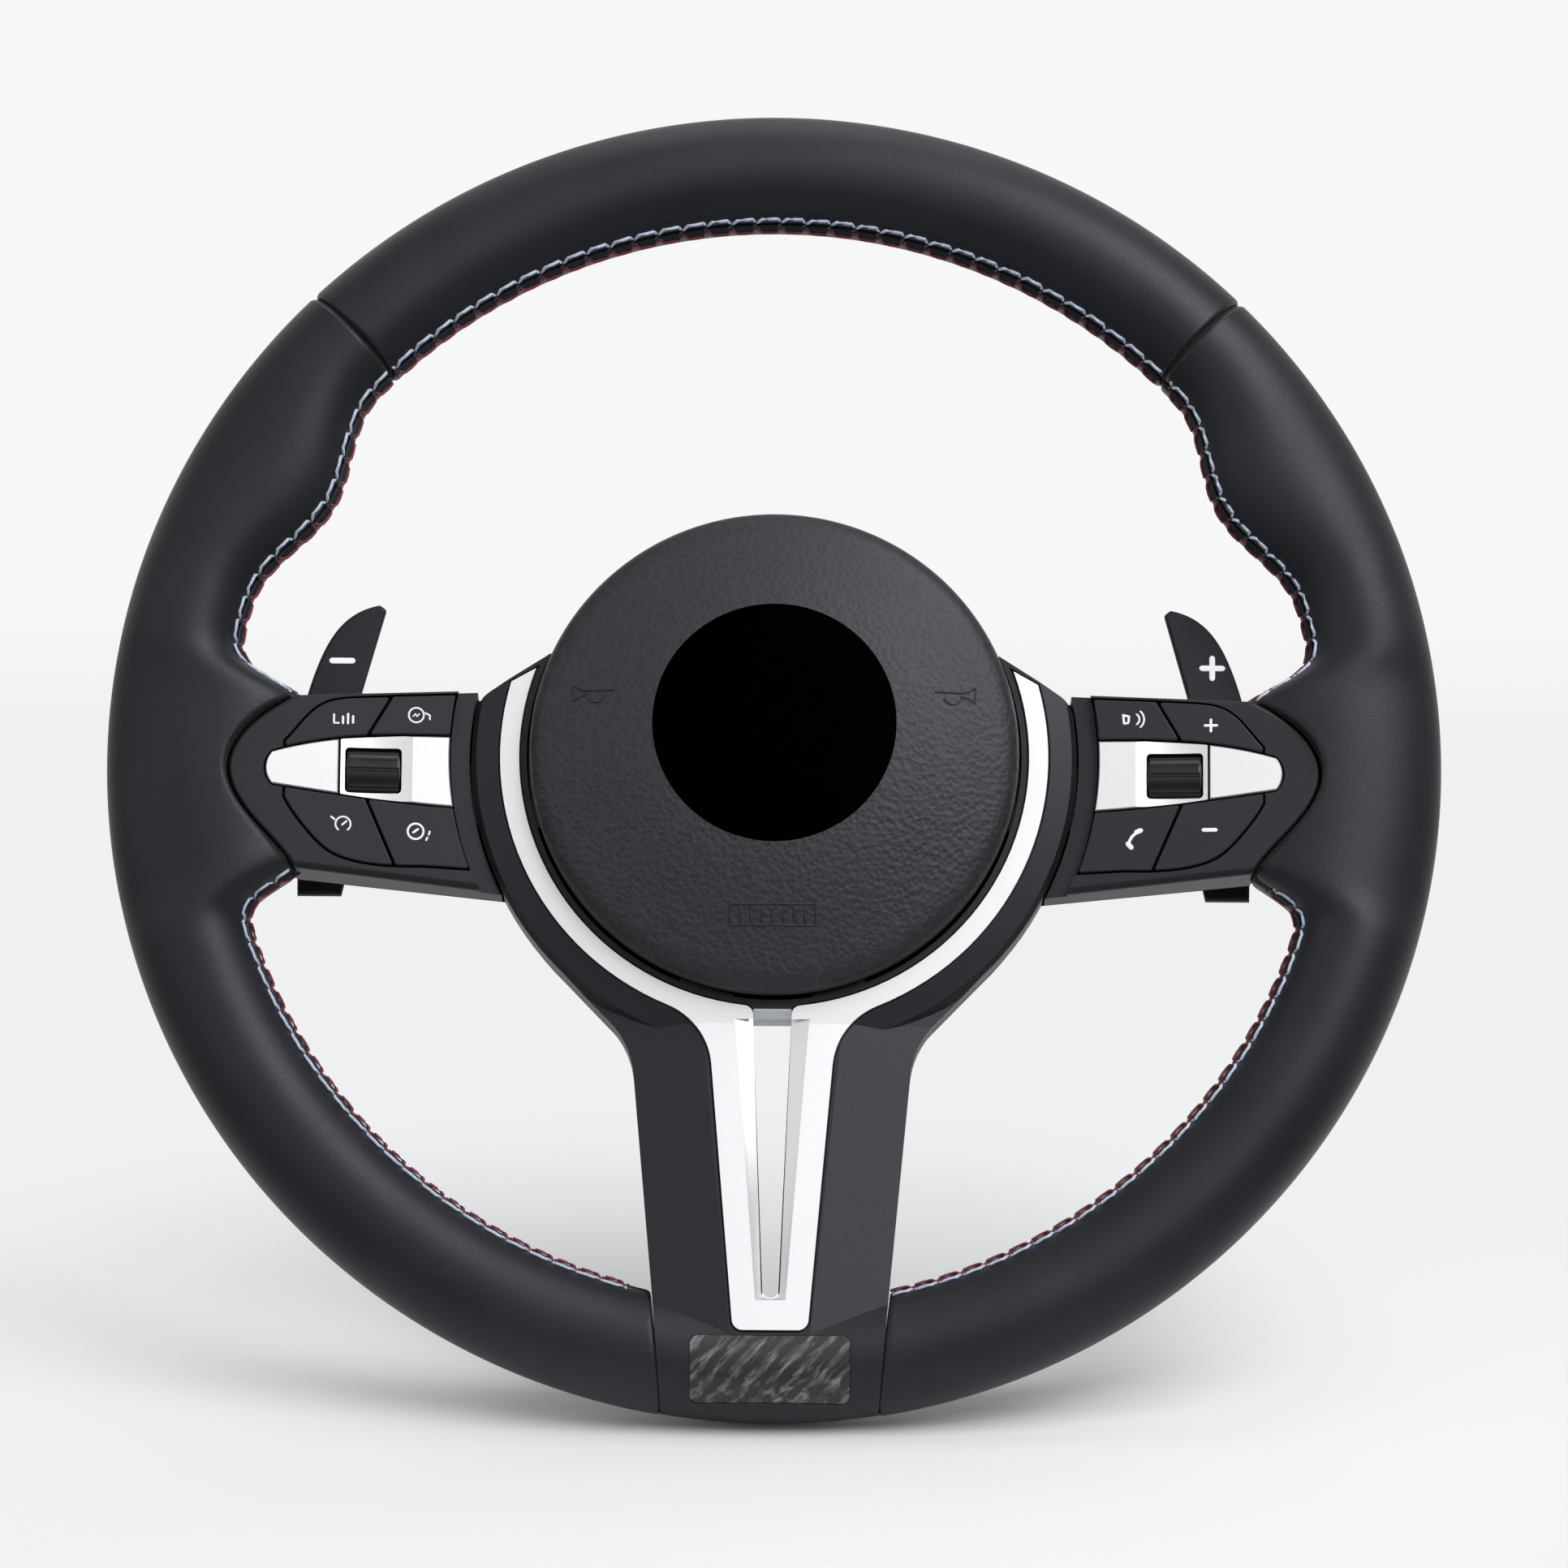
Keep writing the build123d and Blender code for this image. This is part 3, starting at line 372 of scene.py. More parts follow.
def weave_finish():
    """Plain plate with slanted dark and light threads under a gloss coat."""
    f = Finish("badge plate weave")
    slant, streak_scale = radians(-42), (720, 720, 110)
    turned = f.node("ShaderNodeMapping", {}, {"Vector": f.place(), "Rotation": (0, slant, 0)})
    drawn = f.node("ShaderNodeMapping", {}, {"Vector": turned, "Scale": streak_scale})
    bands = f.node("ShaderNodeTexWave", {"wave_type": "BANDS", "bands_direction": "X", "wave_profile": "SIN"},
                   {"Vector": turned, "Scale": 70, "Distortion": 1.2, "Detail": 2}, "Fac")
    streaks, patches = f.noise(1.0, 4, drawn, 0.6), f.noise(120, 2)
    light = f.span(streaks + 0.16 * bands, 0.56, 0.78) * f.span(patches, 0.38, 0.6, 0.25, 1.0)
    return f.surface(Base_Color=f.mix(light, (0.006, 0.006, 0.008, 1), (0.2, 0.204, 0.215, 1)),
                     Roughness=0.45 - 0.12 * light, Coat_Weight=0.2, height=streaks, strength=0.6)


def metal_finish(name, tone, roughness=0.35, scale=(400, 30, 400)):
    """Bare metal with drawn or cast marks."""
    f = Finish(name)
    stretched = f.node("ShaderNodeMapping", {}, {"Vector": f.place(), "Scale": scale})
    marks = f.noise(1.0, 4, stretched)
    return f.surface(Base_Color=f.mix(marks, rgba(tone, 0.8), rgba(tone, 1.1)), Metallic=1.0,
                     Roughness=roughness + 0.15 * marks, height=marks, depth=0.05 * mm, strength=0.4)


def cloth_finish(tone):
    """Folded woven bag cloth."""
    f = Finish("cushion cloth")
    threads = f.node("ShaderNodeTexWave", {}, {"Vector": f.place(), "Scale": 700}, "Fac")
    return f.surface(Base_Color=f.mix(threads, rgba(tone, 0.8), rgba(tone)), Roughness=0.85, height=threads)


def dress(finish, *nodes):
    """Gives CAD nodes a finish."""
    for name in nodes:
        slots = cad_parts[name].data.materials
        slots.clear()
        slots.append(finish)


def both(*names):
    """Names of the left and the right node."""
    return [f"{side}_{name}" for name in names for side in sides]


# Mesh helpers

root_rise, root_fall = radians(0.9), radians(0.8)
shortest_edge, tiny = 1e-7, 1e-6
sheet_step, sheet_rounds = radians(0.5), 72
tuck_levels, tuck_depth, skin_share = (1.0, 0.55, 0.2, 0.0), 0.8, 0.6
tube_sides, tube_end = 7, 0.55
stroke_step, arc_steps, in_front = 0.35 * mm, 24, -0.2
cap_shares, cap_least = (1.0, 0.85, 0.5), 0.02
# Section of a stroke: shares of its half width and of its height.
stroke_section = ((-1, -0.4), (-0.8, 0.8), (0, 1), (0.8, 0.8), (1, -0.4))


def mesh_object(name, bm, finish):
    """Turns a bmesh into an object with one finish."""
    mesh = bpy.data.meshes.new(name)
    bm.to_mesh(mesh)
    bm.free()
    mesh.materials.append(finish)
    made = bpy.data.objects.new(name, mesh)
    bpy.context.scene.collection.objects.link(made)
    return made


def piece(name, bm, finish, body, replaced=None):
    """Turns a bmesh into a piece that rides on a body."""
    made = mesh_object(name, bm, finish)
    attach(made, body)
    if replaced:
        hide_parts(replaced)
    return made


def smooth(bm):
    """Shades all faces as one soft skin."""
    for face in bm.faces:
        face.smooth = True


def rim_inner(turn):
    """Inner radius of the rim at an angle from +X: thumb pads and spoke roots stand inward."""
    s = bpy.context.scene.wheel_sizes
    turn = max(turn, pi - turn)
    bell = cos(pi / 2 * min(1, abs(turn - s.thumb_place) / s.thumb_spread)) ** 2
    upper = 1 / (1 + exp((s.root_top - turn) / root_rise))
    lower = 1 / (1 + exp((turn - s.root_low) / root_fall))
    return s.rim_radius - s.rim_width - s.thumb_height * bell - s.root_depth * upper * lower


def rim_point(turn, around, lift=0.0):
    """Point on the rim's skin: around is the angle from the inner side towards the driver."""
    s = bpy.context.scene.wheel_sizes
    inner = rim_inner(turn)
    across = (s.rim_radius - inner) / 2
    radius = s.rim_radius - across - (across + lift) * cos(around)
    height = s.rim_plane + (s.rim_depth / 2 + lift) * sin(around)
    return Vector((radius * cos(turn), -height, radius * sin(turn)))


def rim_turn(point, left):
    """Angle of a point round the wheel: from -90 to 90 degrees on the right, 90 to 270 on the left."""
    turn = atan2(point.z, point.x)
    return turn + tau if left and turn < 0 else turn


def seam_distance(point, turn):
    """Distance from the sewn seam along the skin."""
    s = bpy.context.scene.wheel_sizes
    across = (s.rim_radius - rim_inner(turn)) / 2
    out = (s.rim_radius - across - hypot(point.x, point.z)) / across
    up = (-point.y - s.rim_plane) / (s.rim_depth / 2)
    off = (atan2(up, out) - s.seam_place + pi) % tau - pi
    return abs(off) * s.rim_depth / 2


def outline_of(node, keep):
    """Edges of a node's outline seen from the driver, as points with outward normals."""
    spots = [Vector((v.co.x, v.co.z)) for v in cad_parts[node].data.vertices if keep(v.co)]
    ring = [spots[i] for i in convex_hull_2d(spots)]
    middle = sum(ring, Vector((0, 0))) / len(ring)
    edges = []
    for a, b in zip(ring, ring[1:] + ring[:1]):
        normal = Vector((b.y - a.y, a.x - b.x))
        if normal.length < shortest_edge:
            continue
        normal.normalize()
        edges.append((a, normal if normal.dot(a - middle) > 0 else -normal))
    return edges


def outside(edges, point):
    """Distance of a point from a convex outline."""
    return max(n.x * (point.x - a.x) + n.y * (point.z - a.y) for a, n in edges)


def split_at(bm, distance, level):
    """Splits the faces along the line where a distance takes a value."""
    value = {v: distance(v.co) - level for v in bm.verts}
    line = set()
    for edge in list(bm.edges):
        a, b = edge.verts
        if value[a] * value[b] < 0:
            share = value[a] / (value[a] - value[b])
            new = bmesh.utils.edge_split(edge, a, share)[1]
            value[new] = 0.0
            line.add(new)
    for face in list(bm.faces):
        ends = [v for v in face.verts if v in line]
        if len(ends) == 2 and not any(ends[1] in e.verts for e in ends[0].link_edges):
            bmesh.utils.face_split(face, *ends)


def leather_cover(name, first, last, room, finish):
    """One sewn cover: a skin round the rim, cut by a room function and turned in at its edges."""
    s = bpy.context.scene.wheel_sizes
    bm = bmesh.new()
    steps = int((last - first) / sheet_step)
    rows = []
    for i in range(steps + 1):
        turn = first + (last - first) * i / steps
        rows.append([bm.verts.new(rim_point(turn, s.seam_place + tau * j / sheet_rounds))
                     for j in range(sheet_rounds + 1)])
    for a, b in zip(rows, rows[1:]):
        for j in range(sheet_rounds):
            bm.faces.new((a[j], a[j + 1], b[j + 1], b[j]))
    bm.normal_update()
    probe = next(iter(bm.faces))
    middle = probe.calc_center_median()
    if probe.normal.dot((middle.x, 0, middle.z)) > 0:
        bmesh.ops.reverse_faces(bm, faces=bm.faces[:])
    for level in tuck_levels:
        split_at(bm, room, s.tuck * level)
    bmesh.ops.delete(bm, geom=[v for v in bm.verts if room(v.co) < -tiny], context="VERTS")
    bm.normal_update()
    for v in bm.verts:
        gap = max(0.0, room(v.co))
        if gap < s.tuck:
            v.co -= v.normal * (s.tuck - sqrt(max(0.0, s.tuck ** 2 - (s.tuck - gap) ** 2))) * tuck_depth
    smooth(bm)
    made = piece(name, bm, finish, "wheel", name.replace("_cover", ""))
    thick = made.modifiers.new("thickness", "SOLIDIFY")
    thick.thickness, thick.offset = s.leather * skin_share, -1


def heading(path, i):
    """Direction of a path at one of its points."""
    return (path[min(i + 1, len(path) - 1)] - path[max(i - 1, 0)]).normalized()


def skin_over(bm, rings):
    """Joins closed rings of points in order and fills both ends."""
    count = len(rings[0])
    for a, b in zip(rings, rings[1:]):
        for k in range(count):
            n = (k + 1) % count
            bm.faces.new((a[k], a[n], b[n], b[k]))
    bm.faces.new(rings[0][::-1])
    bm.faces.new(rings[-1])


def tube(bm, points, radius):
    """Round thread along points, closed at both ends."""
    rings = []
    for i, point in enumerate(points):
        ahead = heading(points, i)
        side = ahead.orthogonal().normalized()
        other = ahead.cross(side)
        size = radius * (tube_end if i in (0, len(points) - 1) else 1)
        turns = [tau * k / tube_sides for k in range(tube_sides)]
        rings.append([bm.verts.new(point + (side * cos(t) + other * sin(t)) * size) for t in turns])
    for a, b in zip(rings, rings[1:]):
        start = min(range(tube_sides), key=lambda k: (b[k].co - a[0].co).length)
        b[:] = b[start:] + b[:start]
    skin_over(bm, rings)


def close_set(points):
    """Points along straight runs, close together."""
    dense = []
    for a, b in zip(points, points[1:]):
        count = max(1, int((b - a).length / stroke_step))
        dense += [a.lerp(b, i / count) for i in range(count)]
    return dense + [points[-1]]


def arc(x, z, radius, start, end):
    """Points of a circle's arc in mm, by degrees."""
    turns = [radians(start + (end - start) * i / arc_steps) for i in range(arc_steps + 1)]
    return [(x + radius * cos(t), z + radius * sin(t)) for t in turns]


def rounded_stroke(points, width):
    """Close-set path of a stroke in mm with half its width at each point, rounded off at both ends."""
    path, half = close_set([Vector((x * mm, z * mm)) for x, z in points]), width * mm / 2
    head, tail = (path[1] - path[0]).normalized(), (path[-1] - path[-2]).normalized()
    caps = [half * share for share in cap_shares]
    ends = [half * sqrt(max(cap_least, 1 - (c / half) ** 2)) for c in caps]
    sizes = ends + [half] * len(path) + ends[::-1]
    return [path[0] - head * c for c in caps] + path + [path[-1] + tail * c for c in caps[::-1]], sizes


def raised_lines(name, node, lines, height, finish, body):
    """Strokes that lie on a node's front face: each has points in mm and a width in mm."""
    bm = bmesh.new()
    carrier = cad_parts[node]
    tree = BVHTree.FromPolygons([v.co for v in carrier.data.vertices],
                                [p.vertices for p in carrier.data.polygons])
    for points, width in lines:
        path, sizes = rounded_stroke(points, width)
        rows = []
        for i, (spot, size) in enumerate(zip(path, sizes)):
            ahead = heading(path, i)
            aside = Vector((-ahead.y, ahead.x))
            row = []
            for share, rise in stroke_section:
                at = spot + aside * size * share
                hit, normal = tree.ray_cast(Vector((at.x, in_front, at.y)), Vector((0, 1, 0)))[:2]
                if hit is None:
                    raise RuntimeError(f"{name}: a stroke runs off {node}")
                row.append(bm.verts.new(hit + normal * height * rise))
            rows.append(row)
        skin_over(bm, rows)
    bmesh.ops.recalc_face_normals(bm, faces=bm.faces[:])
    smooth(bm)
    piece(name, bm, finish, body)


# Pieces

# Where the grip covers end: reach of the housing and of the foot, and the margins that they keep.
grip_ends, sheet_over = (radians(264), radians(-84)), radians(1)
housing_from, foot_from = 0.09, -0.15
near_spoke, near_foot = 0.06, -0.14
housing_margin, foot_overlap = 0.35 * mm, 0.1 * mm


class WHEEL_OT_leather(Operator):
    """Sews the three leather covers round the rim"""

    bl_idname = "wheel.leather"
    bl_label = "Leather covers"

    def execute(self, context):
        s, tones = context.scene.wheel_sizes, context.scene.wheel_colours
        finish = leather_finish(tones.leather)
        dress(foam_finish(), "rim_foam")
        for name in covers:
            leather_cover(f"{name}_leather_cover", *self.reach(s, name), self.room(s, name), finish)
        return {"FINISHED"}

    @staticmethod
    def reach(s, name):
        """Angles that a cover's sheet takes before it is cut."""
        left_end, right_end = grip_ends
        return {"upper": (s.joint_place - sheet_over, pi - s.joint_place + sheet_over),
                "left_grip": (pi - s.joint_place - sheet_over, left_end),
                "right_grip": (right_end, s.joint_place + sheet_over)}[name]

    @staticmethod
    def room(s, name):
        """Distance of a point on a cover from the cover's nearest edge."""
        grip, on_left, gap = name != "upper", name != "right_grip", s.joint_gap / 2
        ends = {"upper": [(s.joint_place, 1), (pi - s.joint_place, -1)],
                "left_grip": [(pi - s.joint_place, 1)],
                "right_grip": [(s.joint_place, -1)]}[name]
        if grip:
            side = "left" if on_left else "right"
            spoke = outline_of(f"{side}_switch_housing", lambda p: abs(p.x) > housing_from)
            foot = outline_of("front_cover", lambda p: p.z < foot_from)

        def distance(point):
            turn = rim_turn(point, on_left)
            rooms = [seam_distance(point, turn) - s.seam_gap / 2]
            rooms += [way * (turn - end) * s.rim_radius - gap for end, way in ends]
            if grip and abs(point.z) < near_spoke:
                rooms.append(outside(spoke, point) - housing_margin)
            if grip and point.z < near_foot:
                rooms.append(outside(foot, point) + foot_overlap)
            return min(rooms)

        return distance


# Stitches: places of the two rows, their dip towards the seam, and a slant that varies along the rim.
front_row, rear_row, row_dip = radians(29.5), radians(4.5), radians(7.5)
stitch_slant, slant_turn = radians(0.9), 2.4
# Points of a stitch: share of its length, share of the dip, and height above the skin in mm.
stitch_over = ((0.0, 0.0, 0.1), (0.04, 0.0, 0.35), (0.34, 0.0, 0.5), (0.62, 0.0, 0.4), (0.72, 0.35, 0.3),
               (0.82, 1.0, -0.35), (0.86, 1.05, -0.6))
stitch_back = ((0.9, 1.0, -0.6), (0.95, 0.55, -0.1), (1.0, 0.06, 0.1))
# Points of a thread across the seam: share of a stitch, degrees from the inner side, and height in mm.
stitch_across = ((0.84, 23, -0.7), (0.92, 17, -0.5), (1.0, 11, -0.7))
# Where stitches fit: place of the outer edge, room that it needs, and steps of the search.
stitch_edge, stitch_room, search_step, search_skip = radians(12), 0.9 * mm, radians(0.02), 5


class WHEEL_OT_stitching(Operator):
    """Sews two rows of thread along the inside of the rim and the threads across the seam"""

    bl_idname = "wheel.stitching"
    bl_label = "Stitching"

    def execute(self, context):
        s, tones = context.scene.wheel_sizes, context.scene.wheel_colours
        runs = [run for name in covers for run in self.places(s, name, WHEEL_OT_leather.room(s, name))]
        rows = {"front": (front_row, -1, tones.thread_front), "rear": (rear_row, 1, tones.thread_rear)}
        for name, (row, way, tone) in rows.items():
            bm = bmesh.new()
            for number, (start, end) in enumerate(runs):
                reach, slant = end - start, stitch_slant * sin(slant_turn * number)
                for stretch in (stitch_over, stitch_back):
                    spots = [rim_point(start + reach * a, row + slant * a + way * row_dip * dip, lift * mm)
                             for a, dip, lift in stretch]
                    tube(bm, spots, s.thread)
            smooth(bm)
            piece(f"{name}_thread", bm, thread_finish(f"{name} thread", tone), "wheel")
        bm = bmesh.new()
        for start, end in runs:
            reach = end - start
            tube(bm, [rim_point(start + reach * a, radians(b), lift * mm) for a, b, lift in stitch_across],
                 s.thread)
        smooth(bm)
        piece("cross_thread", bm, thread_finish("cross thread", tones.thread_cross), "wheel")
        return {"FINISHED"}

    @staticmethod
    def places(s, name, room):
        """Start and end angle of each stitch along one cover's seam."""
        first, last = WHEEL_OT_leather.reach(s, name)
        gap = s.seam_gap
        near, far = s.seam_place + gap / (s.rim_depth / 2), s.seam_place + stitch_edge

        def clear(turn):
            return room(rim_point(turn, far)) > stitch_room and room(rim_point(turn, near)) > -gap

        turn, runs = first, []
        while turn < last:
            if not clear(turn):
                turn += search_step * search_skip
                continue
            start, walked, end = turn, 0.0, turn
            while walked < s.pitch:
                walked += (rim_point(end + search_step, s.seam_place) - rim_point(end, s.seam_place)).length
                end += search_step
            if end < last and clear(end):
                runs.append((start, end))
            turn = end
        return runs


class WHEEL_OT_covers(Operator):
    """Finishes the hub covers, the switch housings and the plain plate on the lower spoke"""

    bl_idname = "wheel.covers"
    bl_label = "Covers"

    def execute(self, context):
        tones = context.scene.wheel_colours
        dress(plastic_finish("cover plastic", tones.plastic, 0.4), *both("switch_housing"))
        dress(plastic_finish("front plastic", tones.plastic, 0.4, lined=tones.silver), "front_cover")
        dress(plastic_finish("rear plastic", tones.plastic, 0.82, grain_scale=1100, relief=0.09 * mm,
                             lined=tones.silver, gloss=0.15), "rear_cover")
        dress(weave_finish(), "spoke_badge_blank")
        return {"FINISHED"}


class WHEEL_OT_airbag(Operator):
    """Finishes the airbag cover and raises its horn marks"""

    bl_idname = "wheel.airbag"
    bl_label = "Airbag cover"

    def execute(self, context):
        s, tones = context.scene.wheel_sizes, context.scene.wheel_colours
        skin = airbag_finish(tones.airbag)
        dress(skin, "airbag_cover")
        dress(blank_finish(), "emblem_blank")
        for side, way in sides.items():
            raised_lines(f"{side}_horn_mark", "airbag_cover", self.horn(way), s.horn_mark, skin, "airbag")
        half, low, high = 12.0, -50.6, -44.8
        plate = [(-half, low), (half, low), (half, high), (-half, high), (-half, low)]
        bars = [([(x, -49.2), (x, -46.2)], 0.9) for x in range(-9, 10, 3)]
        raised_lines("lower_mark", "airbag_cover", [(plate, 0.6), *bars], s.lower_mark, skin, "airbag")
        return {"FINISHED"}

    @staticmethod
    def horn(way):
        """Strokes of a horn mark in mm, with its mouth away from the middle."""
        def at(out, up):
            return way * 50.5 + way * out, 14.6 + up

        mouth_top, mouth_low = at(5.4, 2.9), at(5.4, -1.6)
        return [([mouth_top, at(3.6, 1.5), at(1.5, 1.1), at(-5.6, 1.1)], 0.55),
                ([mouth_low, at(3.6, -0.4), at(1.5, 0.1)], 0.55),
                ([mouth_top, mouth_low], 0.5),
                (arc(*at(-0.9, 0.2), 2.5, 200, 340), 0.5)]


class WHEEL_OT_trim(Operator):
    """Finishes the silver trim, the strips and the rollers"""

    bl_idname = "wheel.trim"
    bl_label = "Silver trim"

    def execute(self, context):
        tones = context.scene.wheel_colours
        dress(silver_finish(tones.silver), "silver_trim", *both("strip", "strip_button"))
        dress(gloss_finish("roller gloss", (0.006, 0.006, 0.0065), 0.2), *both("roller"))
        return {"FINISHED"}


class WHEEL_OT_keys(Operator):
    """Finishes the keys and prints their symbols"""

    bl_idname = "wheel.keys"
    bl_label = "Keys"

    def execute(self, context):
        s, tones = context.scene.wheel_sizes, context.scene.wheel_colours
        names = ("button_upper_outer", "button_upper_inner", "button_lower_outer", "button_lower_inner")
        dress(plastic_finish("key plastic", tones.keys, 0.42, 1900, 0.03 * mm), *both(*names))
        # The symbol print glows a little: painted light that brightens the symbols beyond their print colour.
        glowing_ink = gloss_finish("symbol print with painted glow", tones.symbol, 0.45, painted_glow=0.15)
        for key, lines in self.symbols().items():
            raised_lines(f"{key}_symbol", key, lines, s.print_height, glowing_ink, key)
        return {"FINISHED"}

    @staticmethod
    def symbols():
        """Plain symbols in mm, by key."""
        def gauge(x, z, radius):
            return [(arc(x, z, radius, -50, 230), 0.55), ([(x - 0.2, z - 0.2), (x + 0.9, z + 0.8)], 0.6)]

        return {
            "left_button_upper_outer": [
                ([(-123.1, 10.6), (-123.1, 8.2), (-121.8, 8.2)], 0.6), ([(-120.6, 8.2), (-120.6, 10.0)], 0.7),
                ([(-119.2, 8.2), (-119.2, 10.8)], 0.7), ([(-117.8, 8.4), (-117.8, 10.2)], 0.7)],
            "left_button_upper_inner": [
                (arc(-100.2, 11.0, 2.1, 0, 360), 0.55),
                ([(-101.0, 10.7), (-100.4, 11.4), (-100.0, 10.6), (-99.4, 11.3)], 0.45),
                ([(-97.6, 11.6), (-96.4, 11.0), (-96.4, 9.9)], 0.55)],
            "left_button_lower_outer": [
                *gauge(-120.1, -20.6, 2.1), ([(-123.4, -18.6), (-122.5, -19.3)], 0.6)],
            "left_button_lower_inner": [
                (arc(-99.9, -22.2, 2.2, 0, 360), 0.65), ([(-100.5, -22.5), (-99.3, -21.6)], 0.7),
                ([(-96.2, -23.0), (-96.0, -22.2)], 0.6), ([(-96.9, -24.6), (-96.6, -23.9)], 0.6)],
            "right_button_upper_inner": [
                ([(97.6, 12.4), (99.2, 12.0), (99.0, 10.2), (97.8, 10.0), (97.6, 12.4)], 0.7),
                (arc(100.4, 11.2, 1.7, -55, 55), 0.55), (arc(100.4, 11.2, 3.0, -48, 48), 0.55)],
            "right_button_upper_outer": [
                ([(120.4, 9.2), (123.6, 9.2)], 0.8), ([(122.0, 7.6), (122.0, 10.8)], 0.8)],
            "right_button_lower_inner": [
                (arc(103.6, -25.2, 4.6, 118, 176), 0.9),
                ([(101.3, -21.0), (102.3, -20.6)], 1.5), ([(98.9, -24.4), (99.7, -25.3)], 1.5)],
            "right_button_lower_outer": [([(119.9, -20.6), (123.2, -20.6)], 1.15)],
        }


class WHEEL_OT_paddles(Operator):
    """Finishes the gear paddles and prints minus and plus on them"""

    bl_idname = "wheel.paddles"
    bl_label = "Gear paddles"

    def execute(self, context):
        s, tones = context.scene.wheel_sizes, context.scene.wheel_colours
        dress(plastic_finish("paddle plastic", tones.keys, 0.5, 1600, 0.05 * mm), *both("paddle"))
        # The paddle print glows: painted light that brightens minus and plus beyond their print colour.
        glowing_ink = gloss_finish("paddle print with painted glow", tones.symbol, 0.4, painted_glow=0.4)
        marks = {"left": [([(-125.7, 34.2), (-120.1, 34.2)], 1.8)],
                 "right": [([(121.4, 33.7), (127.0, 33.7)], 1.75), ([(124.2, 30.9), (124.2, 36.5)], 1.75)]}
        for side, lines in marks.items():
            paddle = f"{side}_paddle"
            raised_lines(f"{paddle}_mark", paddle, lines, s.print_height, glowing_ink, paddle)
        return {"FINISHED"}


class WHEEL_OT_inner(Operator):
    """Finishes the frame, the airbag's inside, the springs and the fasteners"""

    bl_idname = "wheel.inner"
    bl_label = "Inner pieces"

    def execute(self, context):
        tones = context.scene.wheel_colours
        dress(metal_finish("cast alloy", (0.42, 0.43, 0.44), 0.5, (260, 260, 260)), "hub_casting")
        dress(metal_finish("drawn steel", (0.45, 0.46, 0.47)), "rim_core", "airbag_can", "inflator",
              "inflator_nuts", "horn_posts", *both("paddle_pin"))
        dress(metal_finish("black screws", (0.05, 0.05, 0.052), 0.4), "cover_screws")
        wire = metal_finish("spring wire", (0.5, 0.5, 0.5), 0.25)
        dress(wire, "horn_springs", *both("paddle_spring"))
        self.horn_springs(context.scene.wheel_sizes.horn_stroke, wire)
        dress(cloth_finish((0.7, 0.7, 0.68)), "airbag_cushion")
        dress(plastic_finish("board", (0.004, 0.012, 0.007), 0.5), *both("switch_board"))
        dress(plastic_finish("connector", (0.6, 0.42, 0.05), 0.45), "harness_socket")
        dress(plastic_finish("switch body", tones.keys, 0.5), *both("paddle_switch"))
        return {"FINISHED"}

    @staticmethod
    def horn_springs(stroke, wire):
        """Copies the horn springs into a coil piece of its own that rides on the wheel."""
        bm = bmesh.new()
        bm.from_mesh(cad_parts["horn_springs"].data)
        coils = piece("horn_spring_coils", bm, wire, "wheel", replaced="horn_springs")
        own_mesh(coils)


# Stage


def area_light(name, power, size, spot, aim):
    """Square soft white light."""
    data = bpy.data.lights.new(name, "AREA")
    data.energy, data.size = power, size
    lamp = bpy.data.objects.new(name, data)
    bpy.context.scene.collection.objects.link(lamp)
    lamp.location = spot
    lamp.rotation_euler = (Vector(aim) - Vector(spot)).to_track_quat("-Z", "Y").to_euler()


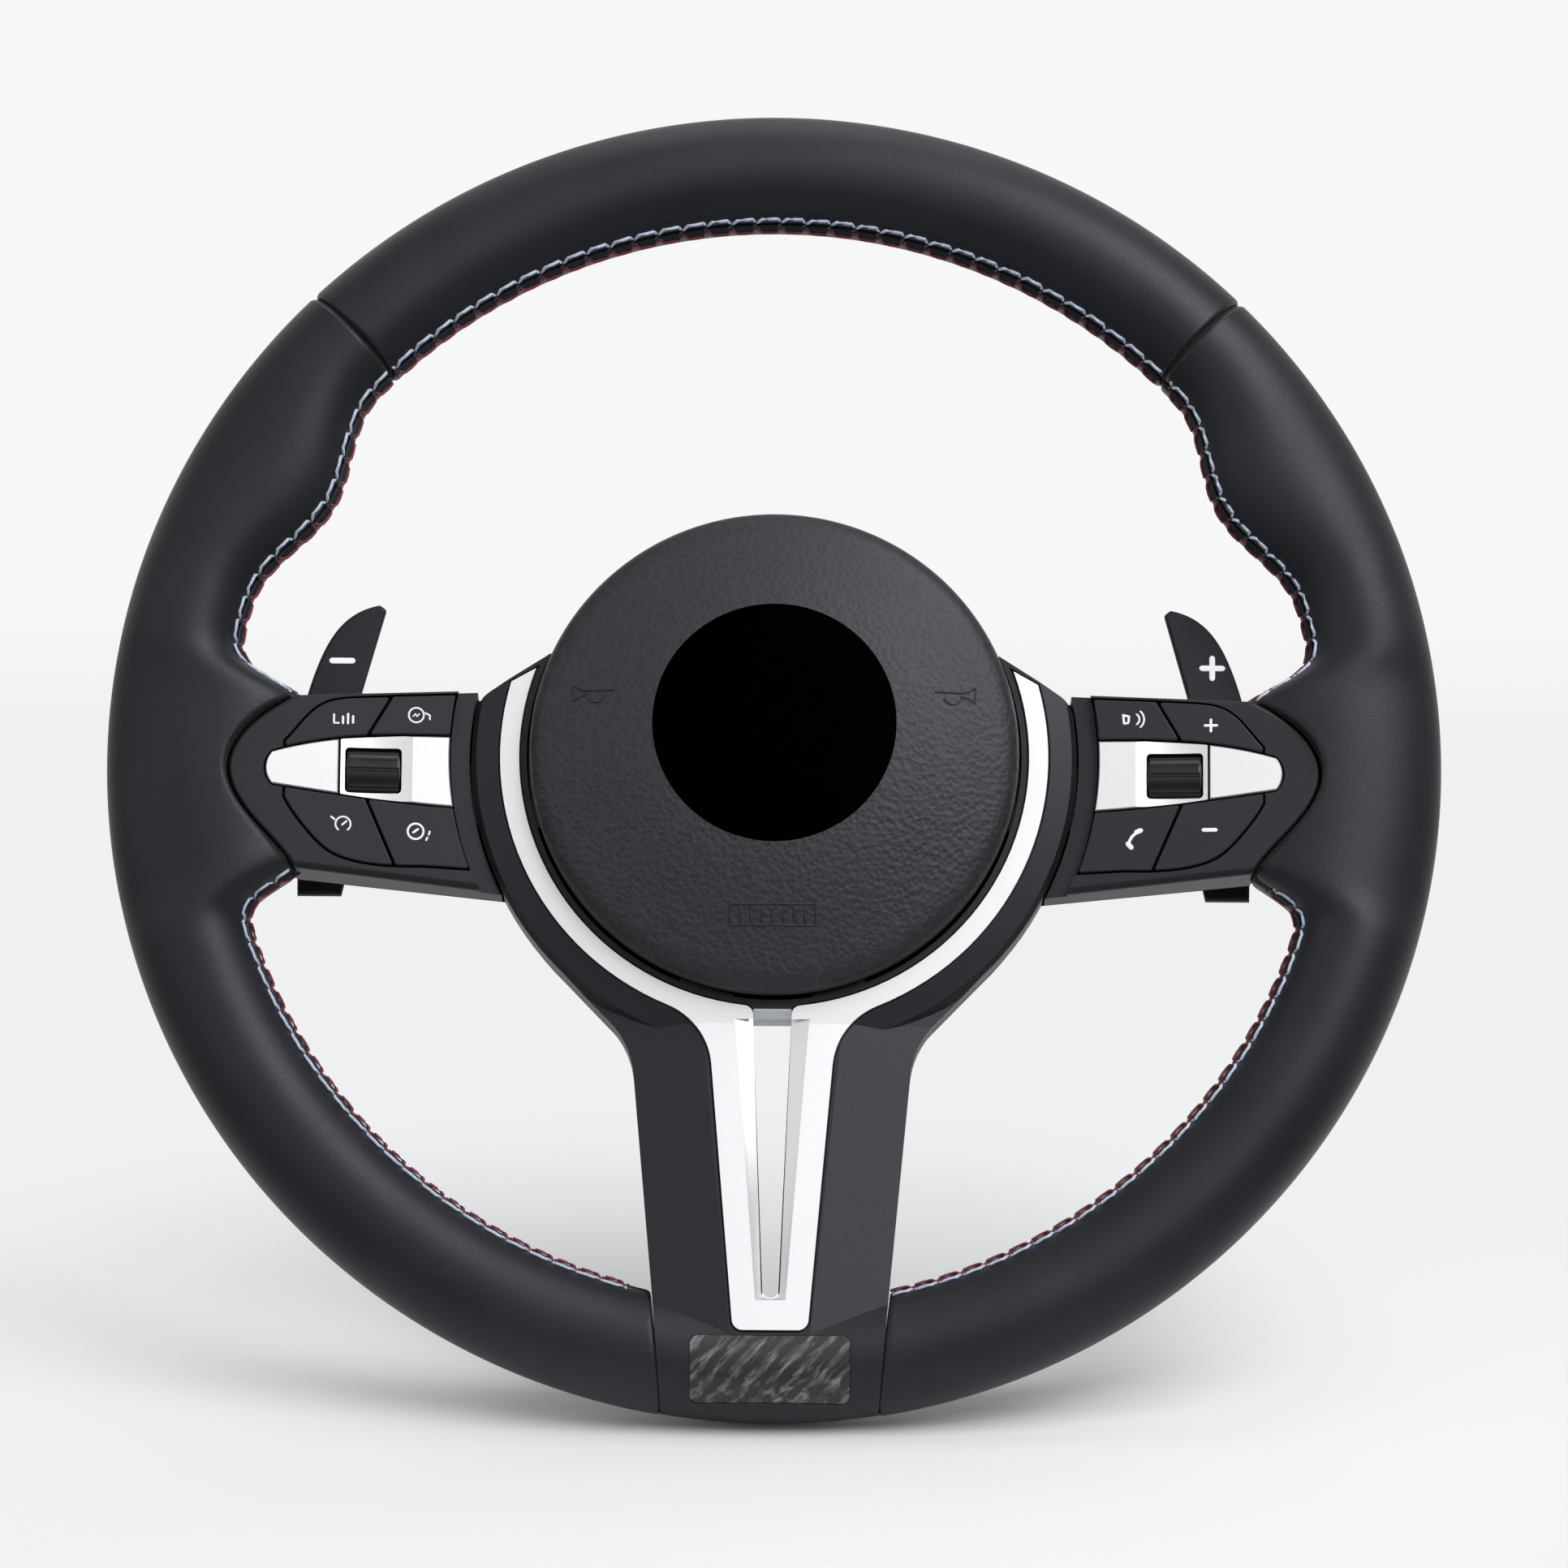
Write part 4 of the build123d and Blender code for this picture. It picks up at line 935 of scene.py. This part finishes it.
class WHEEL_OT_stage(Operator):
    """Sets the pale floor, the soft light, the background and the camera"""

    bl_idname = "wheel.stage"
    bl_label = "Stage"

    def execute(self, context):
        scene, s, view = context.scene, context.scene.wheel_sizes, context.scene.wheel_stage
        scene.view_settings.view_transform = "Standard"
        middle = Vector((0, -s.rim_plane, 0))
        self.world(scene, view)
        self.floor(scene.wheel_colours.floor, s, view)
        lights = {"key light": (view.key, 0.9, (0.75, -1.1, 1.0)),
                  "fill light": (view.fill, 1.2, (-1.3, -1.0, 0.35)),
                  "top light": (view.top, 1.0, (0.0, -0.15, 1.5)),
                  "window light": (view.window, 0.55, (0.75, -1.4, 0.45))}
        for name, (power, size, spot) in lights.items():
            area_light(name, power, size, spot, middle)
        self.camera(scene, view, middle)
        return {"FINISHED"}

    @staticmethod
    def camera(scene, view, middle):
        """Camera in front of the wheel, a little below its axis."""
        sensor, far_end = 36, 20
        forward = Vector((0, cos(view.below), sin(view.below)))
        up = Vector((0, -sin(view.below), cos(view.below)))
        data = bpy.data.cameras.new("camera")
        data.sensor_width, data.clip_end = sensor, far_end
        data.lens = sensor * view.distance / view.width
        camera = bpy.data.objects.new("camera", data)
        scene.collection.objects.link(camera)
        aim = middle + Vector((view.aim_right, 0, 0)) - up * view.aim_down
        facing = Matrix((Vector((1, 0, 0)), up, -forward)).transposed().to_4x4()
        camera.matrix_world = (Matrix.Translation(aim - forward * view.distance) @ facing
                               @ Matrix.Rotation(view.roll, 4, "Z"))
        scene.camera = camera

    @staticmethod
    def world(scene, view):
        """Pale backdrop with a soft horizon behind the wheel, and a bright wall before it."""
        world = bpy.data.worlds.new("studio")
        scene.world = world
        world.use_nodes = True
        n = Nodes(world.node_tree)
        ray = n.place("Generated")
        away, rise = (n.node("ShaderNodeSeparateXYZ", {}, {0: ray}, axis) for axis in "YZ")
        wall_rise, wall_edge, wall_full = view.below * 1.3, 0.72, 0.97
        wall = (0, -cos(wall_rise), sin(wall_rise))
        facing = n.node("ShaderNodeVectorMath", {"operation": "DOT_PRODUCT"}, {0: ray, 1: wall}, "Value")
        horizon_low, horizon_high, ground_share = 0.214, 0.226, 0.94
        backdrop_edge, backdrop_full = -0.2, 0.8
        backdrop = n.span(rise, horizon_low, horizon_high, view.backdrop * ground_share, view.backdrop)
        power = (view.ambient + n.span(away, backdrop_edge, backdrop_full) * (backdrop - view.ambient)
                 + n.span(facing, wall_edge, wall_full, 0.0, view.glow - view.ambient))
        shade = n.node("ShaderNodeBackground", {}, {"Color": (0.985, 0.99, 1.0, 1), "Strength": power})
        n.node("ShaderNodeOutputWorld", {}, {"Surface": shade})

    @staticmethod
    def floor(tone, s, view):
        """Round pale floor under the rim's lowest point, leaning with the wheel and fading out."""
        radius, solid_share, clear_share = 0.34, 0.2, 0.95
        extra_lean, clearance = radians(14), 0.4 * mm
        bm = bmesh.new()
        bmesh.ops.create_circle(bm, cap_ends=True, segments=96, radius=radius)
        f = Finish("pale floor")
        away = f.node("ShaderNodeVectorMath", {"operation": "LENGTH"}, {0: f.place()}, "Value")
        tint = f.mix(f.noise(9, 3), rgba(tone, 0.97), rgba(tone))
        finish = f.surface(Base_Color=tint, Roughness=0.8, Specular_IOR_Level=0.1,
                           Alpha=f.span(away, radius * clear_share, radius * solid_share),
                           height=f.noise(400, 2), depth=0.05 * mm)
        floor = mesh_object("floor", bm, finish)
        lean = view.below + extra_lean
        reach = hypot(s.rim_depth / 2 * sin(lean), s.rim_width / 2 * cos(lean))
        normal = Vector((0, -sin(lean), cos(lean)))
        foot = Vector((0, -s.rim_plane, -(s.rim_radius - s.rim_width / 2)))
        floor.location = foot - normal * (reach + clearance)
        floor.rotation_euler = (lean, 0, 0)


class WHEEL_PT_panel(Panel):
    """Lists the wheel's operators and sizes"""

    bl_idname = "WHEEL_PT_panel"
    bl_label = "Steering wheel"
    bl_space_type = "VIEW_3D"
    bl_region_type = "UI"
    bl_category = "Wheel"

    def draw(self, context):
        for cls in operators:
            self.layout.operator(cls.bl_idname)
        for group in (context.scene.wheel_sizes, context.scene.wheel_colours, context.scene.wheel_stage):
            for name in group.__annotations__:
                self.layout.prop(group, name)


operators = (WHEEL_OT_leather, WHEEL_OT_stitching, WHEEL_OT_covers, WHEEL_OT_airbag, WHEEL_OT_trim,
             WHEEL_OT_keys, WHEEL_OT_paddles, WHEEL_OT_inner, WHEEL_OT_stage)
groups = {"wheel_sizes": WheelSizes, "wheel_colours": WheelColours, "wheel_stage": WheelStage}
classes = (*groups.values(), *operators, WHEEL_PT_panel)


def register():
    for cls in classes:
        bpy.utils.register_class(cls)
    for name, cls in groups.items():
        setattr(bpy.types.Scene, name, PointerProperty(type=cls))


def unregister():
    for name in groups:
        delattr(bpy.types.Scene, name)
    for cls in reversed(classes):
        bpy.utils.unregister_class(cls)


def main():
    register()
    bpy.ops.wheel.leather()
    bpy.ops.wheel.stitching()
    bpy.ops.wheel.covers()
    bpy.ops.wheel.airbag()
    bpy.ops.wheel.trim()
    bpy.ops.wheel.keys()
    bpy.ops.wheel.paddles()
    bpy.ops.wheel.inner()
    bpy.ops.wheel.stage()


if __name__ == "__main__":
    main()
